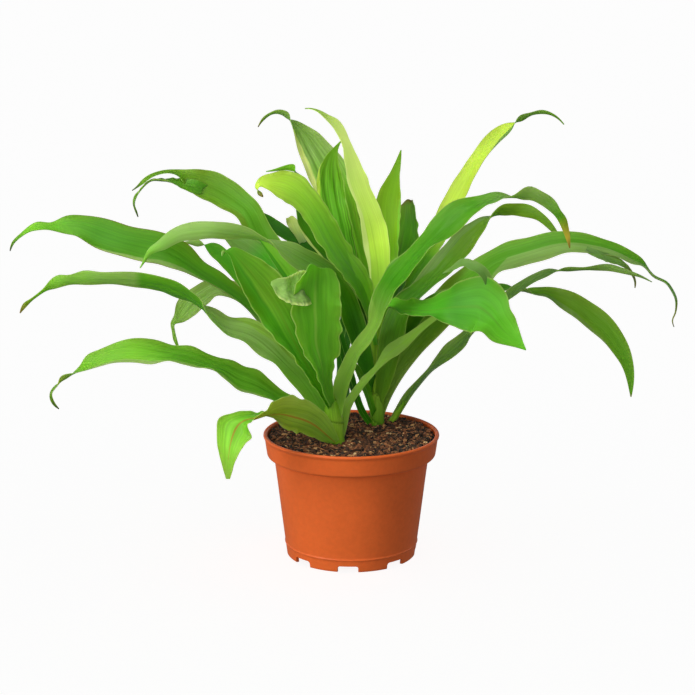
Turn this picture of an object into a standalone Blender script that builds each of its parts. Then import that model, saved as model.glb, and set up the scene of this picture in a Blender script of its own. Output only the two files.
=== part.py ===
"""Potted dracaena: a terracotta nursery pot, potting mix, two short stems and their long leaves.

Metres, +Z up, origin on the pot's axis at the floor, -Y towards the viewer. Lengths below are in mm.
"""
import math
from collections import namedtuple

import bmesh
import bpy
import numpy as np

MM = 0.001
GAP = 0.3                       # kept between pieces that touch

# Pot: radius and height up the outer side, then down the inner side
LIP_RADIUS = 76.2
LIP_INNER_RADIUS = 72.6
POT_HEIGHT = 107.9
BAND_FOOT_RADIUS = 73.1
BODY_TOP_RADIUS = 66.9
FOOT_RADIUS = 56.3
FOOT_INNER_RADIUS = 53.6
BASE_TOP = 9.0
BASE_UNDERSIDE = 7.0
BASE_INNER_RADIUS = 55.6
SKIRT_INNER_RADIUS = 54.3
POT_SIDES = 48
POT_OUTER = (
    (FOOT_RADIUS, 0.0), (57.5, 10.0), (58.1, 10.6), (58.2, 11.4), (57.8, 12.0), (BODY_TOP_RADIUS, 87.0),
    (67.4, 88.5), (71.5, 89.1), (72.7, 89.6), (BAND_FOOT_RADIUS, 90.5), (75.0, 104.5),
    (LIP_RADIUS, 106.4), (75.6, POT_HEIGHT))
POT_INNER = (
    (74.0, POT_HEIGHT), (LIP_INNER_RADIUS, 106.8), (72.4, 104.0), (71.2, 93.2), (69.2, 91.0),
    (65.4, 89.3), (65.2, 86.6), (BASE_INNER_RADIUS, BASE_TOP))
SMOOTH_BELOW_DEG = 40.0

# Drainage notches in the foot
NOTCH_COUNT = 8
NOTCH_WIDTH = 18.0
NOTCH_HEIGHT = 5.3
NOTCH_CORNER = 2.4
NOTCH_FIRST_DEG = -93.0
NOTCH_INNER_RADIUS = 48.0
NOTCH_OUTER_RADIUS = 62.0
NOTCH_START = -2.0              # the blocks start below the floor

# Potting mix
SOIL_LEVEL = 104.8
SOIL_RADIUS = 71.8
SOIL_DOME = 0.2                 # rise from the wall to the middle
SOIL_LUMP = 0.4                 # height of the lumps
SOIL_LUMP_COUNTS = (5.0, 9.0)   # lumps round each ring
SOIL_LUMP_TURNS = (1.7, -0.8)   # radians from ring to ring
SOIL_RINGS = (14.0, 28.0, 42.0, 56.0)

# Stems: centre x, y, height z and radius of each ring, from the soil line up
StemRing = namedtuple("StemRing", "x y z radius")
STEM_SIDES = 16
STEM_FOOT = 66.0                # height of the buried ends
FRONT_STEM = (
    StemRing(-11.4, -23.0, 97.0, 6.8), StemRing(-13.1, -24.0, 109.5, 7.5),
    StemRing(-14.8, -25.0, 121.5, 8.5), StemRing(-16.5, -26.0, 135.0, 8.5),
    StemRing(-17.3, -27.0, 145.5, 6.0), StemRing(-18.1, -28.0, 152.0, 2.5))
REAR_STEM = (
    StemRing(22.8, 31.0, 97.5, 6.5), StemRing(22.7, 31.0, 119.5, 6.5),
    StemRing(22.7, 32.0, 137.5, 6.2), StemRing(22.6, 33.0, 155.5, 6.2),
    StemRing(22.6, 34.0, 173.0, 7.0), StemRing(23.4, 35.0, 191.0, 7.5),
    StemRing(23.8, 35.0, 203.5, 5.5), StemRing(24.2, 35.0, 212.5, 2.5))
# Round stalk of the slender leaf that grows straight from the soil
SLENDER_STALK = (
    StemRing(29.0, 41.5, 97.0, 3.2), StemRing(37.2, 40.2, 109.0, 3.0),
    StemRing(42.8, 38.9, 118.0, 2.4), StemRing(47.0, 37.9, 124.5, 1.2))

# Leaves
THICKNESS = 0.7
TROUGH = 0.10                   # how far the midrib lies below the edges, as a share of the width
TROUGH_REST = 0.8               # part of the trough that the midrib sinks; the edges lift by the rest
RIPPLE = 0.035                  # height of the edge waves, as a share of the leaf's width
RIPPLE_WAVES = 3.0
RIPPLE_LAG = 1.3                # radians between the two edges' waves
SECTIONS_MOST = 18
SECTIONS_LEAST = 9
SECTIONS_SPARE = 2              # sections beyond one for each station
ACROSS = 5
FOOT_SHARE = 0.22               # width at a leaf's foot, as a share of its full width
RISE_SHARE = 0.38               # share of the length over which a leaf widens
BLUNT_RISE = 0.5                # the same for a leaf with a cut-off end
SEEN_MARGIN = 1.02              # a leaf is at least this much wider than it looks
TIP_WIDTH = 1.6
TAPER_START = 0.38              # share of the length where a leaf begins to narrow to its tip
TAPER_POWER = 0.75
RISE_POWER = 0.8

# The view in which the leaves' stations are read: a level-headed view from the front, turned down
VIEW_POINT = np.array([-3.3, -1528.6, 539.3])
VIEW_DOWN = math.radians(13.11)
VIEW_SCALE = 1831.0             # view units for one unit of tangent
VIEW_MIDDLE = 347.5             # column and row on the view's axis
VIEW_RIGHT = np.array([1.0, 0.0, 0.0])
VIEW_AHEAD = np.array([0.0, math.cos(VIEW_DOWN), -math.sin(VIEW_DOWN)])
VIEW_UP = np.array([0.0, math.sin(VIEW_DOWN), math.cos(VIEW_DOWN)])

# One station on a leaf's midrib: its column and row in the view, its distance in mm behind the pot's
# axis, and the leaf's seen width there in view units, negative where the underside is seen.
Station = namedtuple("Station", "column row depth span")
Leaf = namedtuple("Leaf", "name tone width stations rise foot blunt joined_to")


def leaf(name, tone, width, stations, rise=RISE_SHARE, foot=FOOT_SHARE, blunt=False, joined_to=""):
    """One leaf: width in mm across the flattened blade, rise the share of its length over which it widens."""
    return Leaf(name, tone, width, tuple(Station(*station) for station in stations), rise, foot, blunt,
                joined_to)


LEAVES = (
    leaf("leaf_far_left_upper", "dark", 38, rise=0.6, stations=(
        (331, 420, -24, 9), (316, 391, -28, 15), (301, 364, -30, 19), (284, 338, -29, 20),
        (268, 320, -27, 18), (252, 306, -29, 14), (236, 293, -33, 13), (218, 281, -40, 16),
        (200, 270, -43, 18), (182, 258, -45, 25), (165, 250, -46, 31), (148, 246, -46, 34),
        (125, 241, -46, 31), (100, 233, -43, 32), (80, 226, -40, 22), (65, 225, -38, 18),
        (50, 226.5, -36, 8), (38, 226, -35, 9), (28, 230, -34, 6), (20, 236, -33, 4),
        (13, 243, -32, 3), (10, 251, -32, 1))),
    leaf("leaf_far_left_middle", "green", 34, rise=0.45, stations=(
        (334, 434, -24, 8), (325, 417, -30, 16), (314, 396.5, -39, 19), (302, 379, -47, 21),
        (291, 367, -52, 20), (282, 357.5, -53, 19), (273, 349, -53, 25), (260, 338, -53, 27),
        (245, 330, -54, 25), (230, 326, -56, 21), (217, 318, -58, 11), (206, 308, -59, 2),
        (198, 302, -60, -7), (188, 295, -61, -13), (176, 290, -62, -17), (163, 285, -62, -15),
        (150, 282, -62, -12), (138, 280, -61, -14), (120, 279, -60, -12), (100, 278.5, -58, -11),
        (84, 278, -56, -14), (70, 280, -54, -10), (60, 281, -53, -12), (52, 285, -51, -9),
        (46, 289, -50, -3.5), (39, 294, -49, -1.5), (31, 300, -48, -2), (25, 305, -47, -4.5),
        (20, 313, -46, -1))),
    leaf("leaf_left_lower", "bright", 32, stations=(
        (332, 437, -21, 7), (318, 427, -32, 11), (302, 412, -43, 13), (286, 401, -50, 13),
        (270, 391, -56, 14), (255, 383, -62, 24), (240, 377, -66, 25), (225, 368, -70, 17),
        (210, 363, -74, 14), (195, 358, -77, 17), (175, 354, -80, 15), (155, 352, -83, 23),
        (135, 350.5, -86, 25), (115, 353, -88, 20), (100, 358, -89, 17), (90, 362, -90, 15),
        (82, 368, -90, 8), (75, 372, -91, 2), (68, 375.5, -91, -3.5), (62, 379, -91, -4),
        (57, 385, -92, 2), (52, 391, -92, 3), (51, 397, -92, 3.5), (54, 404, -92, 3),
        (59, 409, -92, 1))),
    leaf("leaf_red_midrib", "red", 40, stations=(
        (337, 443, -27, -7), (326, 433, -42, -21), (314, 423, -54, -31), (302, 417, -63, -35),
        (291, 414, -70, -34), (281, 412, -76, -28), (272, 412, -82, -15), (262, 413.5, -88, -2),
        (252, 416, -94, 8), (243, 419.5, -98, 19), (236, 427, -102, 37), (231, 440, -105, 30),
        (229, 451, -107, 22), (228, 462, -107, 14), (228, 471, -106, 9), (228, 479, -105, 4))),
    leaf("leaf_left_curling", "olive", 28, stations=(
        (334, 430, -19, 6), (314, 392, -2, 12), (290, 347, 8, 13), (265, 314, 12, 14),
        (240, 294, 14, 16), (217, 287, 14, 18), (203, 294, 12, 22), (192, 302, 9, 24),
        (184, 311, 6, 21), (178, 319, 3, 11), (173, 323.5, 1, 5), (173.5, 331, -1, 3.5),
        (175, 339, -2, 4), (178, 347, -3, 2.5), (181, 355, -4, 1))),
    leaf("leaf_left_grey_back", "dark", 32, stations=(
        (376, 395, 30, 7), (369, 375, 23, 13), (361, 345, 16, 19), (352, 315, 10, 20),
        (343, 290, 2, 17), (330.5, 273, -9, 18), (314.5, 265.5, -20, 23), (299.5, 258, -30, 24),
        (285, 248.5, -38, 14), (270, 240.5, -45, 2), (255, 235.5, -50, -7), (240, 232, -54, -12),
        (225, 231, -57, -15), (210, 230, -60, -17), (195, 231, -61, -18), (181, 233.5, -62, -16),
        (170, 239, -62, -14), (160, 246, -62, -10), (152, 250, -61, -7), (147, 256, -60, -4),
        (143, 263, -60, -2), (140, 268, -60, -1))),
    leaf("leaf_left_forked", "green", 34, stations=(
        (333, 418, -19, 6), (326, 385, 4, 13), (314, 345, 26, 19), (298, 306, 41, 25),
        (281.5, 270, 51, 30), (266, 246.5, 56, 30), (256, 226, 61, 25), (247, 210, 65, 25),
        (235, 200, 68, 28), (221, 191, 70, 31), (205, 184, 71, 30), (192, 179, 71, 22),
        (182, 174, 71, 10), (170, 171.5, 71, 4.5), (159, 173, 71, 4), (150, 176.5, 71, 4.5),
        (142, 182.5, 71, 4), (137, 187, 71, 2), (132, 190.5, 71, 0.8))),
    leaf("leaf_left_forked_prong", "green", 18, joined_to="leaf_left_forked", stations=(
        (206, 190, 71, 10), (196, 187, 67, 14), (187, 184.5, 66, 12), (178, 182, 66, 9),
        (170, 180, 66, 6), (162, 179.5, 66, 2), (152, 179.5, 65, 1.4), (145, 184, 65, 1.6),
        (139, 191, 65, 2.5), (135, 198, 64, 3.5), (134, 205, 64, 2), (136, 211, 64, 2),
        (138, 217, 64, 1))),
    leaf("leaf_top_left_pleated", "green", 42, stations=(
        (375, 334, 39, 7), (368, 300, 54, 15), (360, 265, 66, 24), (350, 230, 74, 32),
        (339, 198, 78, 38), (326, 169, 82, 39), (313, 148, 85, 31), (302, 132, 86, 19),
        (293, 121.5, 87, 6), (288, 116.5, 87, -4), (284, 113.5, 86, -4.5), (278, 112, 86, -3),
        (271, 113.5, 85, -1.5), (265, 117.5, 84, -2), (261, 122, 84, -1.5), (258, 127, 84, -0.8))),
    leaf("leaf_top_lime", "lime", 26, stations=(
        (379.5, 313, 35, 6), (380, 290, 34, 16), (379, 265, 34, 22), (376, 242, 35, 26),
        (372, 220, 36, 25), (366, 203, 36, 21), (360, 188, 36, 20), (355, 172, 35, 18),
        (350, 155, 34, 13), (345.5, 142, 33, 10), (340, 130, 31, 10), (334, 122, 29, 9),
        (327, 117, 27, 6), (320, 112, 25, 3.5), (312, 108.8, 23, 1.6), (305, 108.5, 21, 1))),
    leaf("leaf_top_striped", "striped", 30, stations=(
        (377, 325, 35, 6), (362, 290, 40, 12), (350, 262, 44, 18), (342, 240, 46, 24),
        (336, 218, 47, 27), (332, 200, 48, 28), (330, 183, 49, 28), (330, 170, 49, 22),
        (332, 158, 49, 13), (336, 148.5, 48, 5), (341, 141, 48, 1))),
    leaf("leaf_top_arching", "green", 38, stations=(
        (374, 324, 31, 6), (368, 304, 16, 13), (362, 285, -3, 20), (352, 270, -16, 25),
        (339, 253, -24, 26), (326, 231, -31, 25), (315, 212, -36, 26), (304, 198, -40, 28),
        (292, 188, -43, 32), (280, 183.5, -45, 27), (269, 182, -47, 17), (260, 183, -48, 9),
        (257, 188, -49, 3.5), (259, 192.5, -49.5, -4), (263, 197, -50, -1))),
    leaf("leaf_top_left_dark", "dark", 24, stations=(
        (376, 344, 39, 6), (360, 302, 56, 10), (342, 272, 58, 14), (325, 250, 62, 17),
        (311, 232, 65, 17), (302, 212, 68, 12), (298, 192, 70, 9), (297, 176, 71, 8),
        (293, 168, 70, -7), (284, 168, 69, -4), (275, 170, 68, -2), (266, 171.5, 67, -0.8))),
    leaf("leaf_back_left_deep", "deep", 24, stations=(
        (377, 350, 39, 6), (354, 296, 66, 11), (330, 262, 80, 15), (310, 245, 88, 15),
        (293, 237, 93, 13), (279, 229, 96, 13), (268, 222, 98, 13), (256, 214, 99, 8),
        (246, 208, 100, 1))),
    leaf("leaf_back_left_flap", "pale", 9, joined_to="leaf_back_left_deep", blunt=True, stations=(
        (303, 243, 90, 7), (299, 234, 93, 9), (295, 227, 95, 11), (292, 222, 96, 11),
        (289, 217, 96, 8))),
    leaf("leaf_back_upright", "green", 26, stations=(
        (381, 321, 38, 6), (386, 303, 50, 8), (389, 275, 64, 12), (390, 250, 72, 16),
        (389.5, 228, 77, 21), (388, 210, 80, 25), (390, 193, 81, 22), (394, 177, 80, 12),
        (398, 163, 79, 6), (401, 150, 78, 1))),
    leaf("leaf_back_dry_top", "dark", 30, blunt=True, stations=(
        (383, 338, 37, 6), (390, 310, 60, 12), (396, 280, 84, 18), (401, 255, 94, 23),
        (405, 238, 99, 26), (407, 224, 102, 22), (407.5, 211, 104, 16), (407, 200, 105, 11))),
    leaf("leaf_centre_left_bright", "bright", 16, stations=(
        (331, 399, -22, 6), (322, 360, -6, 11), (310, 315, -2, 15), (298, 288, 2, 16),
        (287, 270, 5, 16), (276, 256, 7, 12), (265, 244, 8, 6), (257, 236, 9, 1))),
    leaf("leaf_right_lime", "lime", 24, stations=(
        (382, 352, 37, 6), (394, 327, 45, 6), (402, 303, 60, 6), (408, 286, 73, 9),
        (418, 268, 85, 13), (430, 248, 94, 17), (441, 227, 101, 19), (451, 205, 105, 19),
        (462, 184, 108, 18), (473, 165, 110, 14), (484, 149, 112, 14), (496, 136, 113, 14),
        (509, 126.5, 114, 9), (520, 119, 115, -5), (530, 114.5, 115, -2.5), (541, 112, 115, -3.5),
        (551, 114, 115, -2.2), (559, 119, 115, -1.4), (564, 124.5, 115, -1))),
    leaf("leaf_right_long_dark", "dark", 36, stations=(
        (337, 420, -26, 8), (339, 404, -33, 11), (341.5, 385, -38, 15), (348, 367.5, -42, 15),
        (356.5, 350.5, -45, 14), (368, 335, -48, 13), (376, 318, -50, 14), (380, 302, -52, 15),
        (387.5, 287, -54, 18), (400, 271, -56, 20), (415, 254, -58, 17), (430, 239, -59, 20),
        (444, 226, -60, 27), (457, 214, -61, 28), (470, 206, -61, 19), (482, 201, -60, 12),
        (492, 198, -59, 12), (502, 196, -58, 6), (511, 196, -57, 1), (521, 195, -56, -8),
        (530, 193.5, -55, -12.5), (539, 197, -54, -11), (547, 201.5, -52, -11),
        (553, 207, -51, -10), (557.5, 213, -50, -7), (562, 219, -49, -8), (565, 227, -48, -7),
        (567.5, 236, -47, -5), (569.8, 248, -47, -1))),
    leaf("leaf_right_olive", "olive", 34, stations=(
        (379, 402, 27, 8), (384, 380, 20, 16), (389, 352, 15, 23), (394, 328, 14, 25),
        (402, 306, 23, 20), (414.5, 292.5, 39, 16), (430, 278, 59, 18), (446, 261, 70, 24),
        (458, 248, 78, 25), (468, 236, 85, 22), (478, 226, 90, 15), (486, 219, 93, 7),
        (492, 215, 95, -2), (498, 212, 96, -8), (505, 210, 97, -11), (513, 209.5, 97, -11),
        (521, 210, 97, -13), (529, 211.5, 96, -12.5), (537, 215, 94, -9.5), (544, 220, 92, -8),
        (550, 226, 90, -6.5), (556, 233, 88, -4), (561, 240, 87, -1))),
    leaf("leaf_far_right", "dark", 38, stations=(
        (379, 420, 34, 7), (382, 400, 37, 15), (388.5, 381, 40, 21), (399.5, 360.5, 43, 25),
        (412.5, 343, 46, 28), (427.5, 325, 49, 31), (444.5, 306, 52, 33), (461.5, 290, 55, 31),
        (478, 275, 57, 26), (493, 263, 58, 25), (511, 256, 58, 27), (530, 250.5, 57, 28),
        (550, 245, 54, 27), (570, 242, 50, 23), (590, 244, 46, 19), (605, 247, 43, 16),
        (615, 250, 41, 14), (625, 254.5, 39, 13), (635, 259.5, 38, 11), (642, 263, 37, 8),
        (648, 269, 36, 4.5), (654, 276, 35, 3.5), (661, 279.5, 34, 3), (667, 283, 33, 4),
        (672, 290, 33, 4), (676, 299, 32, 3.5), (676.3, 307, 32, 2.5), (675, 314, 32, 1.7),
        (672.5, 320, 32, 1.3), (674, 327, 32, 0.8))),
    leaf("leaf_far_right_prong", "dark", 14, joined_to="leaf_far_right", stations=(
        (586, 249, 42, 6), (600, 255, 32, 9), (611, 259, 30, 9), (620, 262.5, 29, 8),
        (627, 267.5, 28, 5), (632, 274, 27.5, 3.5), (635, 281, 27, 2.5), (635, 288, 27, 1))),
    leaf("leaf_front_right", "bright", 56, rise=0.9, foot=0.1, stations=(
        (376, 345, 26.2, 4.5), (374, 332, 2, 5), (376, 315, -8, 6), (384, 306, -18, 6),
        (393, 304, -29, 9), (403, 307.5, -42, 14), (415, 308, -53, 18), (432, 308, -65, 22),
        (449, 307, -75, 37), (464, 306, -83, 50), (478, 306, -89, 60), (487, 311, -92, 56),
        (495, 319, -95, 40), (504, 330, -97, 33), (513, 338, -98, 20), (520, 344.5, -99, 9),
        (526, 350, -100, 1))),
    leaf("leaf_front_right_fold", "pale", 10, joined_to="leaf_front_right", stations=(
        (489, 283, -81, 9), (485.5, 275, -82.5, 10), (479, 268.5, -83.5, 10.5),
        (471.5, 265, -81.5, 10), (463, 262.5, -78, 8), (454, 267.5, -74, 4.5), (443, 273, -70, 1))),
    leaf("leaf_right_drooping", "olive", 28, rise=0.6, stations=(
        (379, 388, 32, 7), (388, 362, 34, 12), (400, 338, 34, 14), (412, 322, 34, 14),
        (428, 305, 33, 14), (450, 295, 27, 12), (475, 290, 26, 10), (497, 288, 28, 8),
        (511, 287.5, 31, 5), (522, 289, 33, -2), (532, 291, 33, 8), (543, 291.5, 32, 11),
        (555, 295, 31, 16), (567, 300.5, 29, 20), (580, 308, 27, 22), (592, 317, 25, 24),
        (604, 327, 22, 23), (614, 338.5, 20, 21), (622, 351.5, 17, 17), (628, 366, 14, 12),
        (630.5, 380, 12, 7.5), (631, 390, 11, 4), (631, 397, 10, 1))),
    leaf("leaf_right_slender", "grey", 20, stations=(
        (394, 418, 40, 7), (399, 409.5, 39, 7.5), (407, 396.5, 37, 7.5), (416.5, 385, 34, 6),
        (426.5, 374, 31, 5), (433.5, 366.5, 28, 6), (443, 357, 25, 12), (452, 349, 22, 14),
        (461, 341, 19, 11), (469, 332, 15, 8), (480, 321, 11, 8), (494, 308, 6, 8),
        (507, 296.5, 3, 8.5), (517, 288.5, 1, 9), (528, 281.5, -1, 8), (540, 275.5, -2, 7),
        (552, 271, -3, 4.5), (565, 269.5, -4, -3.5), (580, 269, -4, -2.5), (595, 268, -4, -4.5),
        (608, 267.5, -4, -7), (620, 270, -4, -6), (632, 273.5, -4, -4), (641, 276.5, -4, -2.3),
        (652, 282, -4, -0.8))),
    leaf("leaf_front_thin_olive", "olive", 18, rise=0.7, stations=(
        (341, 438, -22, 6), (343, 424, -16, 9), (346, 408, -12, 10), (353, 396, -9, 8),
        (361, 385, -7, 7), (369, 376, -5, 6), (378, 366.5, -3, 6), (387, 355, -2, 12),
        (397, 347, -1, 14), (408, 339, -1, 10), (420, 329, -1, 7), (433, 319, -2, 6),
        (447, 310, -3, 3), (458, 304, -3, 1))),
    leaf("leaf_front_crumpled", "bright", 46, blunt=True, stations=(
        (333, 406, -31, 6), (329, 396, -47, 8), (325.5, 380, -58, 14), (323, 364, -67, 23),
        (320.5, 348, -75, 34), (318.5, 330, -81, 46), (316, 309, -86, 50), (317.5, 291, -90, 43),
        (319.5, 277, -92, 38), (320, 267, -94, 29))),
    leaf("leaf_front_crumpled_margin", "pale", 26, joined_to="leaf_front_crumpled", stations=(
        (311, 288, -84, 32), (304, 288, -95, 36), (297, 289, -101, 33), (289, 289, -106, 28),
        (282, 287, -109, 21), (276, 284, -110, 12), (271, 283, -110, 3))),
    leaf("leaf_front_broad", "green", 44, stations=(
        (331, 408, -30, 6), (323, 390, -48, 11), (313, 370, -61, 18), (302, 349, -66, 27),
        (289, 327, -70, 38), (276, 305, -72, 43), (263, 286, -73, 41), (250, 270, -73, 31),
        (239, 258, -73, 18), (230, 251, -73, 8), (223, 252, -73, -3), (222, 256, -73, -1))),
    leaf("leaf_left_narrow", "bright", 22, stations=(
        (330, 410, -22, 6), (310, 375, -20, 9), (290, 342, -16, 11), (272, 317, -11, 11),
        (256, 297, -8, 12), (244, 280, -5, 15), (232, 265, -5, 17), (220, 254, -5, 15),
        (210, 247, -6, 10), (200, 243.5, -7, -6), (190, 242.5, -8, -4), (180, 243.5, -9, -2))),
    leaf("leaf_left_grey", "grey", 24, stations=(
        (332, 405, -21, 6), (318, 370, 0, 12), (300, 325, 8, 16), (283, 290, 16, 18),
        (268, 266, 24, -20), (253, 251.5, 26, -23), (240, 242, 27, -21), (228, 234.5, 27, -12),
        (217, 229, 27, -1))),
    leaf("leaf_small_left", "deep", 10, stations=(
        (370, 423, 27, 6), (362, 411, 17, 7), (357, 398, 9, 7), (353, 386, 2, 8), (349, 372, -4, 9),
        (345, 356, -8, 9), (340, 338, -14, 9), (335, 318, -15, 7), (330, 300, -18, 2))),
    leaf("leaf_small_short", "deep", 10, stations=(
        (375, 417, 28, 6), (370.5, 402, 17, 7), (366, 388, 12, 8), (361.5, 377, 9, 7),
        (356.5, 367, 6, 5), (353, 361, 4, 1))),
    leaf("leaf_small_upright", "deep", 18, stations=(
        (339, 439, -17, 5), (344, 420, 1, 9), (344, 396, 6, 11), (343, 374, 14, 12),
        (343, 350, 20, 13), (346, 325, 24, 14), (350, 302, 26, 10), (353, 285, 28, 2))),
)

TONES = {
    "green": (0.110, 0.335, 0.018), "dark": (0.052, 0.205, 0.012), "deep": (0.022, 0.110, 0.008),
    "bright": (0.155, 0.455, 0.022), "lime": (0.430, 0.760, 0.075), "olive": (0.125, 0.265, 0.020),
    "red": (0.120, 0.360, 0.020), "striped": (0.210, 0.480, 0.050), "pale": (0.300, 0.540, 0.130),
    "grey": (0.120, 0.290, 0.050)}
STEM_COLOUR = (0.130, 0.340, 0.040)
POT_COLOUR = (0.560, 0.105, 0.026)
SOIL_COLOUR = (0.045, 0.021, 0.010)


def clear_scene():
    """Take everything out of the open scene."""
    for found in list(bpy.data.objects):
        bpy.data.objects.remove(found, do_unlink=True)


def make_material(name, colour, roughness):
    """A plain surface of one colour."""
    material = bpy.data.materials.new(name)
    material.use_nodes = True
    shader = material.node_tree.nodes["Principled BSDF"]
    shader.inputs["Base Color"].default_value = (*colour, 1.0)
    shader.inputs["Roughness"].default_value = roughness
    shader.inputs["Metallic"].default_value = 0.0
    return material


def add_solid(name, points, faces, material=None, smooth=False):
    """One closed solid from points in mm, with its faces turned outward."""
    mesh = bpy.data.meshes.new(name)
    mesh.from_pydata([tuple(point) for point in np.asarray(points) * MM], [], faces)
    form = bmesh.new()
    form.from_mesh(mesh)
    if form.calc_volume(signed=True) < 0.0:
        bmesh.ops.reverse_faces(form, faces=form.faces)
    form.to_mesh(mesh)
    form.free()
    if smooth:
        mesh.shade_smooth()
        mesh.set_sharp_from_angle(angle=math.radians(SMOOTH_BELOW_DEG))
    placed = bpy.data.objects.new(name, mesh)
    bpy.context.scene.collection.objects.link(placed)
    if material is not None:
        mesh.materials.append(material)
    return placed


def as_guide(placed):
    """Mark a solid that only shapes others."""
    placed.hide_render = True
    placed.display_type = "WIRE"
    return placed


def shape_with(placed, guide, operation):
    """Let a guide solid be joined to a piece or cut from it."""
    change = placed.modifiers.new(guide.name, "BOOLEAN")
    change.operation = operation
    change.object = guide
    change.solver = "EXACT"


def ring(radius, height, sides):
    """Points of one level ring about the pot's axis."""
    turns = np.arange(sides) * (2.0 * math.pi / sides)
    return np.stack([radius * np.cos(turns), radius * np.sin(turns), np.full(sides, height)], 1)


def band_faces(low, high, sides):
    """Quads between two rings of points, given their first indices."""
    return [(low + k, low + (k + 1) % sides, high + (k + 1) % sides, high + k) for k in range(sides)]


def make_pot(material):
    """Turn the wall's outline, close it over a base plate and cut the drainage notches."""
    wall = POT_OUTER + POT_INNER
    skirt = ((SKIRT_INNER_RADIUS, BASE_UNDERSIDE), (FOOT_INNER_RADIUS, 0.0))
    points = [ring(radius, height, POT_SIDES) for radius, height in wall + skirt]
    faces = []
    for row in range(len(wall) - 1):
        faces += band_faces(row * POT_SIDES, (row + 1) * POT_SIDES, POT_SIDES)
    base_rim = (len(wall) - 1) * POT_SIDES
    plate_rim = base_rim + POT_SIDES
    foot_rim = plate_rim + POT_SIDES
    faces.append(tuple(base_rim + k for k in range(POT_SIDES)))
    faces.append(tuple(reversed([plate_rim + k for k in range(POT_SIDES)])))
    faces += band_faces(plate_rim, foot_rim, POT_SIDES)
    faces += band_faces(foot_rim, 0, POT_SIDES)
    pot = add_solid("pot", np.concatenate(points), faces, material, smooth=True)
    shape_with(pot, as_guide(make_notches()), "DIFFERENCE")
    return pot


def make_notches():
    """Round-cornered blocks that stand through the foot skirt."""
    half = NOTCH_WIDTH / 2.0
    outline = [(-half, NOTCH_START), (half, NOTCH_START), (half, NOTCH_HEIGHT - NOTCH_CORNER)]
    for step in range(1, 4):
        turn = math.radians(30.0 * step)
        outline.append((half - NOTCH_CORNER * (1.0 - math.cos(turn)),
                        NOTCH_HEIGHT - NOTCH_CORNER * (1.0 - math.sin(turn))))
    outline += [(-across, height) for across, height in reversed(outline[2:])]
    count = len(outline)
    points = []
    faces = []
    for notch in range(NOTCH_COUNT):
        turn = math.radians(NOTCH_FIRST_DEG + notch * 360.0 / NOTCH_COUNT)
        out = np.array([math.cos(turn), math.sin(turn), 0.0])
        side = np.array([-math.sin(turn), math.cos(turn), 0.0])
        first = len(points)
        for radius in (NOTCH_INNER_RADIUS, NOTCH_OUTER_RADIUS):
            for across, height in outline:
                points.append(out * radius + side * across + np.array([0.0, 0.0, height]))
        faces.append(tuple(first + k for k in range(count)))
        faces.append(tuple(first + count + k for k in reversed(range(count))))
        faces += [(first + (k + 1) % count, first + k, first + count + k, first + count + (k + 1) % count)
                  for k in range(count)]
    return add_solid("notch_guide", points, faces)


def make_soil(material, holes):
    """Potting mix that fills the pot to just under the lip, with a hole for each stem."""
    wall = [(SOIL_RADIUS, SOIL_LEVEL)]
    wall += [(radius - GAP, height) for radius, height in POT_INNER[3:-1]]
    wall.append((BASE_INNER_RADIUS - GAP, BASE_TOP + GAP))
    points = [np.array([[0.0, 0.0, SOIL_LEVEL + SOIL_DOME]])]
    for place, radius in enumerate(SOIL_RINGS):
        level = ring(radius, SOIL_LEVEL, POT_SIDES)
        turn = np.arange(POT_SIDES) * (2.0 * math.pi / POT_SIDES)
        lumps = np.sin(SOIL_LUMP_COUNTS[0] * turn + SOIL_LUMP_TURNS[0] * place)
        lumps = lumps * np.cos(SOIL_LUMP_COUNTS[1] * turn + SOIL_LUMP_TURNS[1] * place)
        level[:, 2] += SOIL_DOME * (1.0 - (radius / LIP_INNER_RADIUS) ** 2) + SOIL_LUMP * lumps
        points.append(level)
    for radius, height in wall:
        points.append(ring(radius, height, POT_SIDES))
    points.append(np.array([[0.0, 0.0, BASE_TOP + GAP]]))
    rows = len(points) - 2
    faces = [(0, 1 + k, 1 + (k + 1) % POT_SIDES) for k in range(POT_SIDES)]
    for row in range(rows - 1):
        low = 1 + row * POT_SIDES
        for k in range(POT_SIDES):
            near, far = low + k, low + (k + 1) % POT_SIDES
            faces.append((near, near + POT_SIDES, far + POT_SIDES))
            faces.append((near, far + POT_SIDES, far))
    last = 1 + (rows - 1) * POT_SIDES
    centre = last + POT_SIDES
    faces += [(last + (k + 1) % POT_SIDES, last + k, centre) for k in range(POT_SIDES)]
    soil = add_solid("soil", np.concatenate(points), faces, material)
    for hole in holes:
        shape_with(soil, hole, "DIFFERENCE")
    return soil


def make_stem(name, rings, material=None, grow=0.0):
    """A stem of level rings with its lower end buried; grow widens it into a clearance guide."""
    buried = StemRing(rings[0].x, rings[0].y, STEM_FOOT, rings[0].radius)
    path = (buried,) + tuple(rings)
    points = []
    faces = []
    for place, station in enumerate(path):
        shift = 0.0
        if place == 0:
            shift = -grow
        if place == len(path) - 1:
            shift = grow
        level = ring(station.radius + grow, station.z + shift, STEM_SIDES)
        points.append(level + np.array([station.x, station.y, 0.0]))
    for row in range(len(path) - 1):
        faces += band_faces(row * STEM_SIDES, (row + 1) * STEM_SIDES, STEM_SIDES)
    faces.append(tuple(reversed(range(STEM_SIDES))))
    last = (len(path) - 1) * STEM_SIDES
    faces.append(tuple(last + k for k in range(STEM_SIDES)))
    return add_solid(name, np.concatenate(points), faces, material, smooth=material is not None)


def place_in_space(station):
    """The point in mm that a station's column, row and depth stand for."""
    ray = VIEW_AHEAD + VIEW_RIGHT * (station.column - VIEW_MIDDLE) / VIEW_SCALE
    ray = ray + VIEW_UP * (VIEW_MIDDLE - station.row) / VIEW_SCALE
    return VIEW_POINT + ray * ((station.depth - VIEW_POINT[1]) / ray[1])


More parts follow.
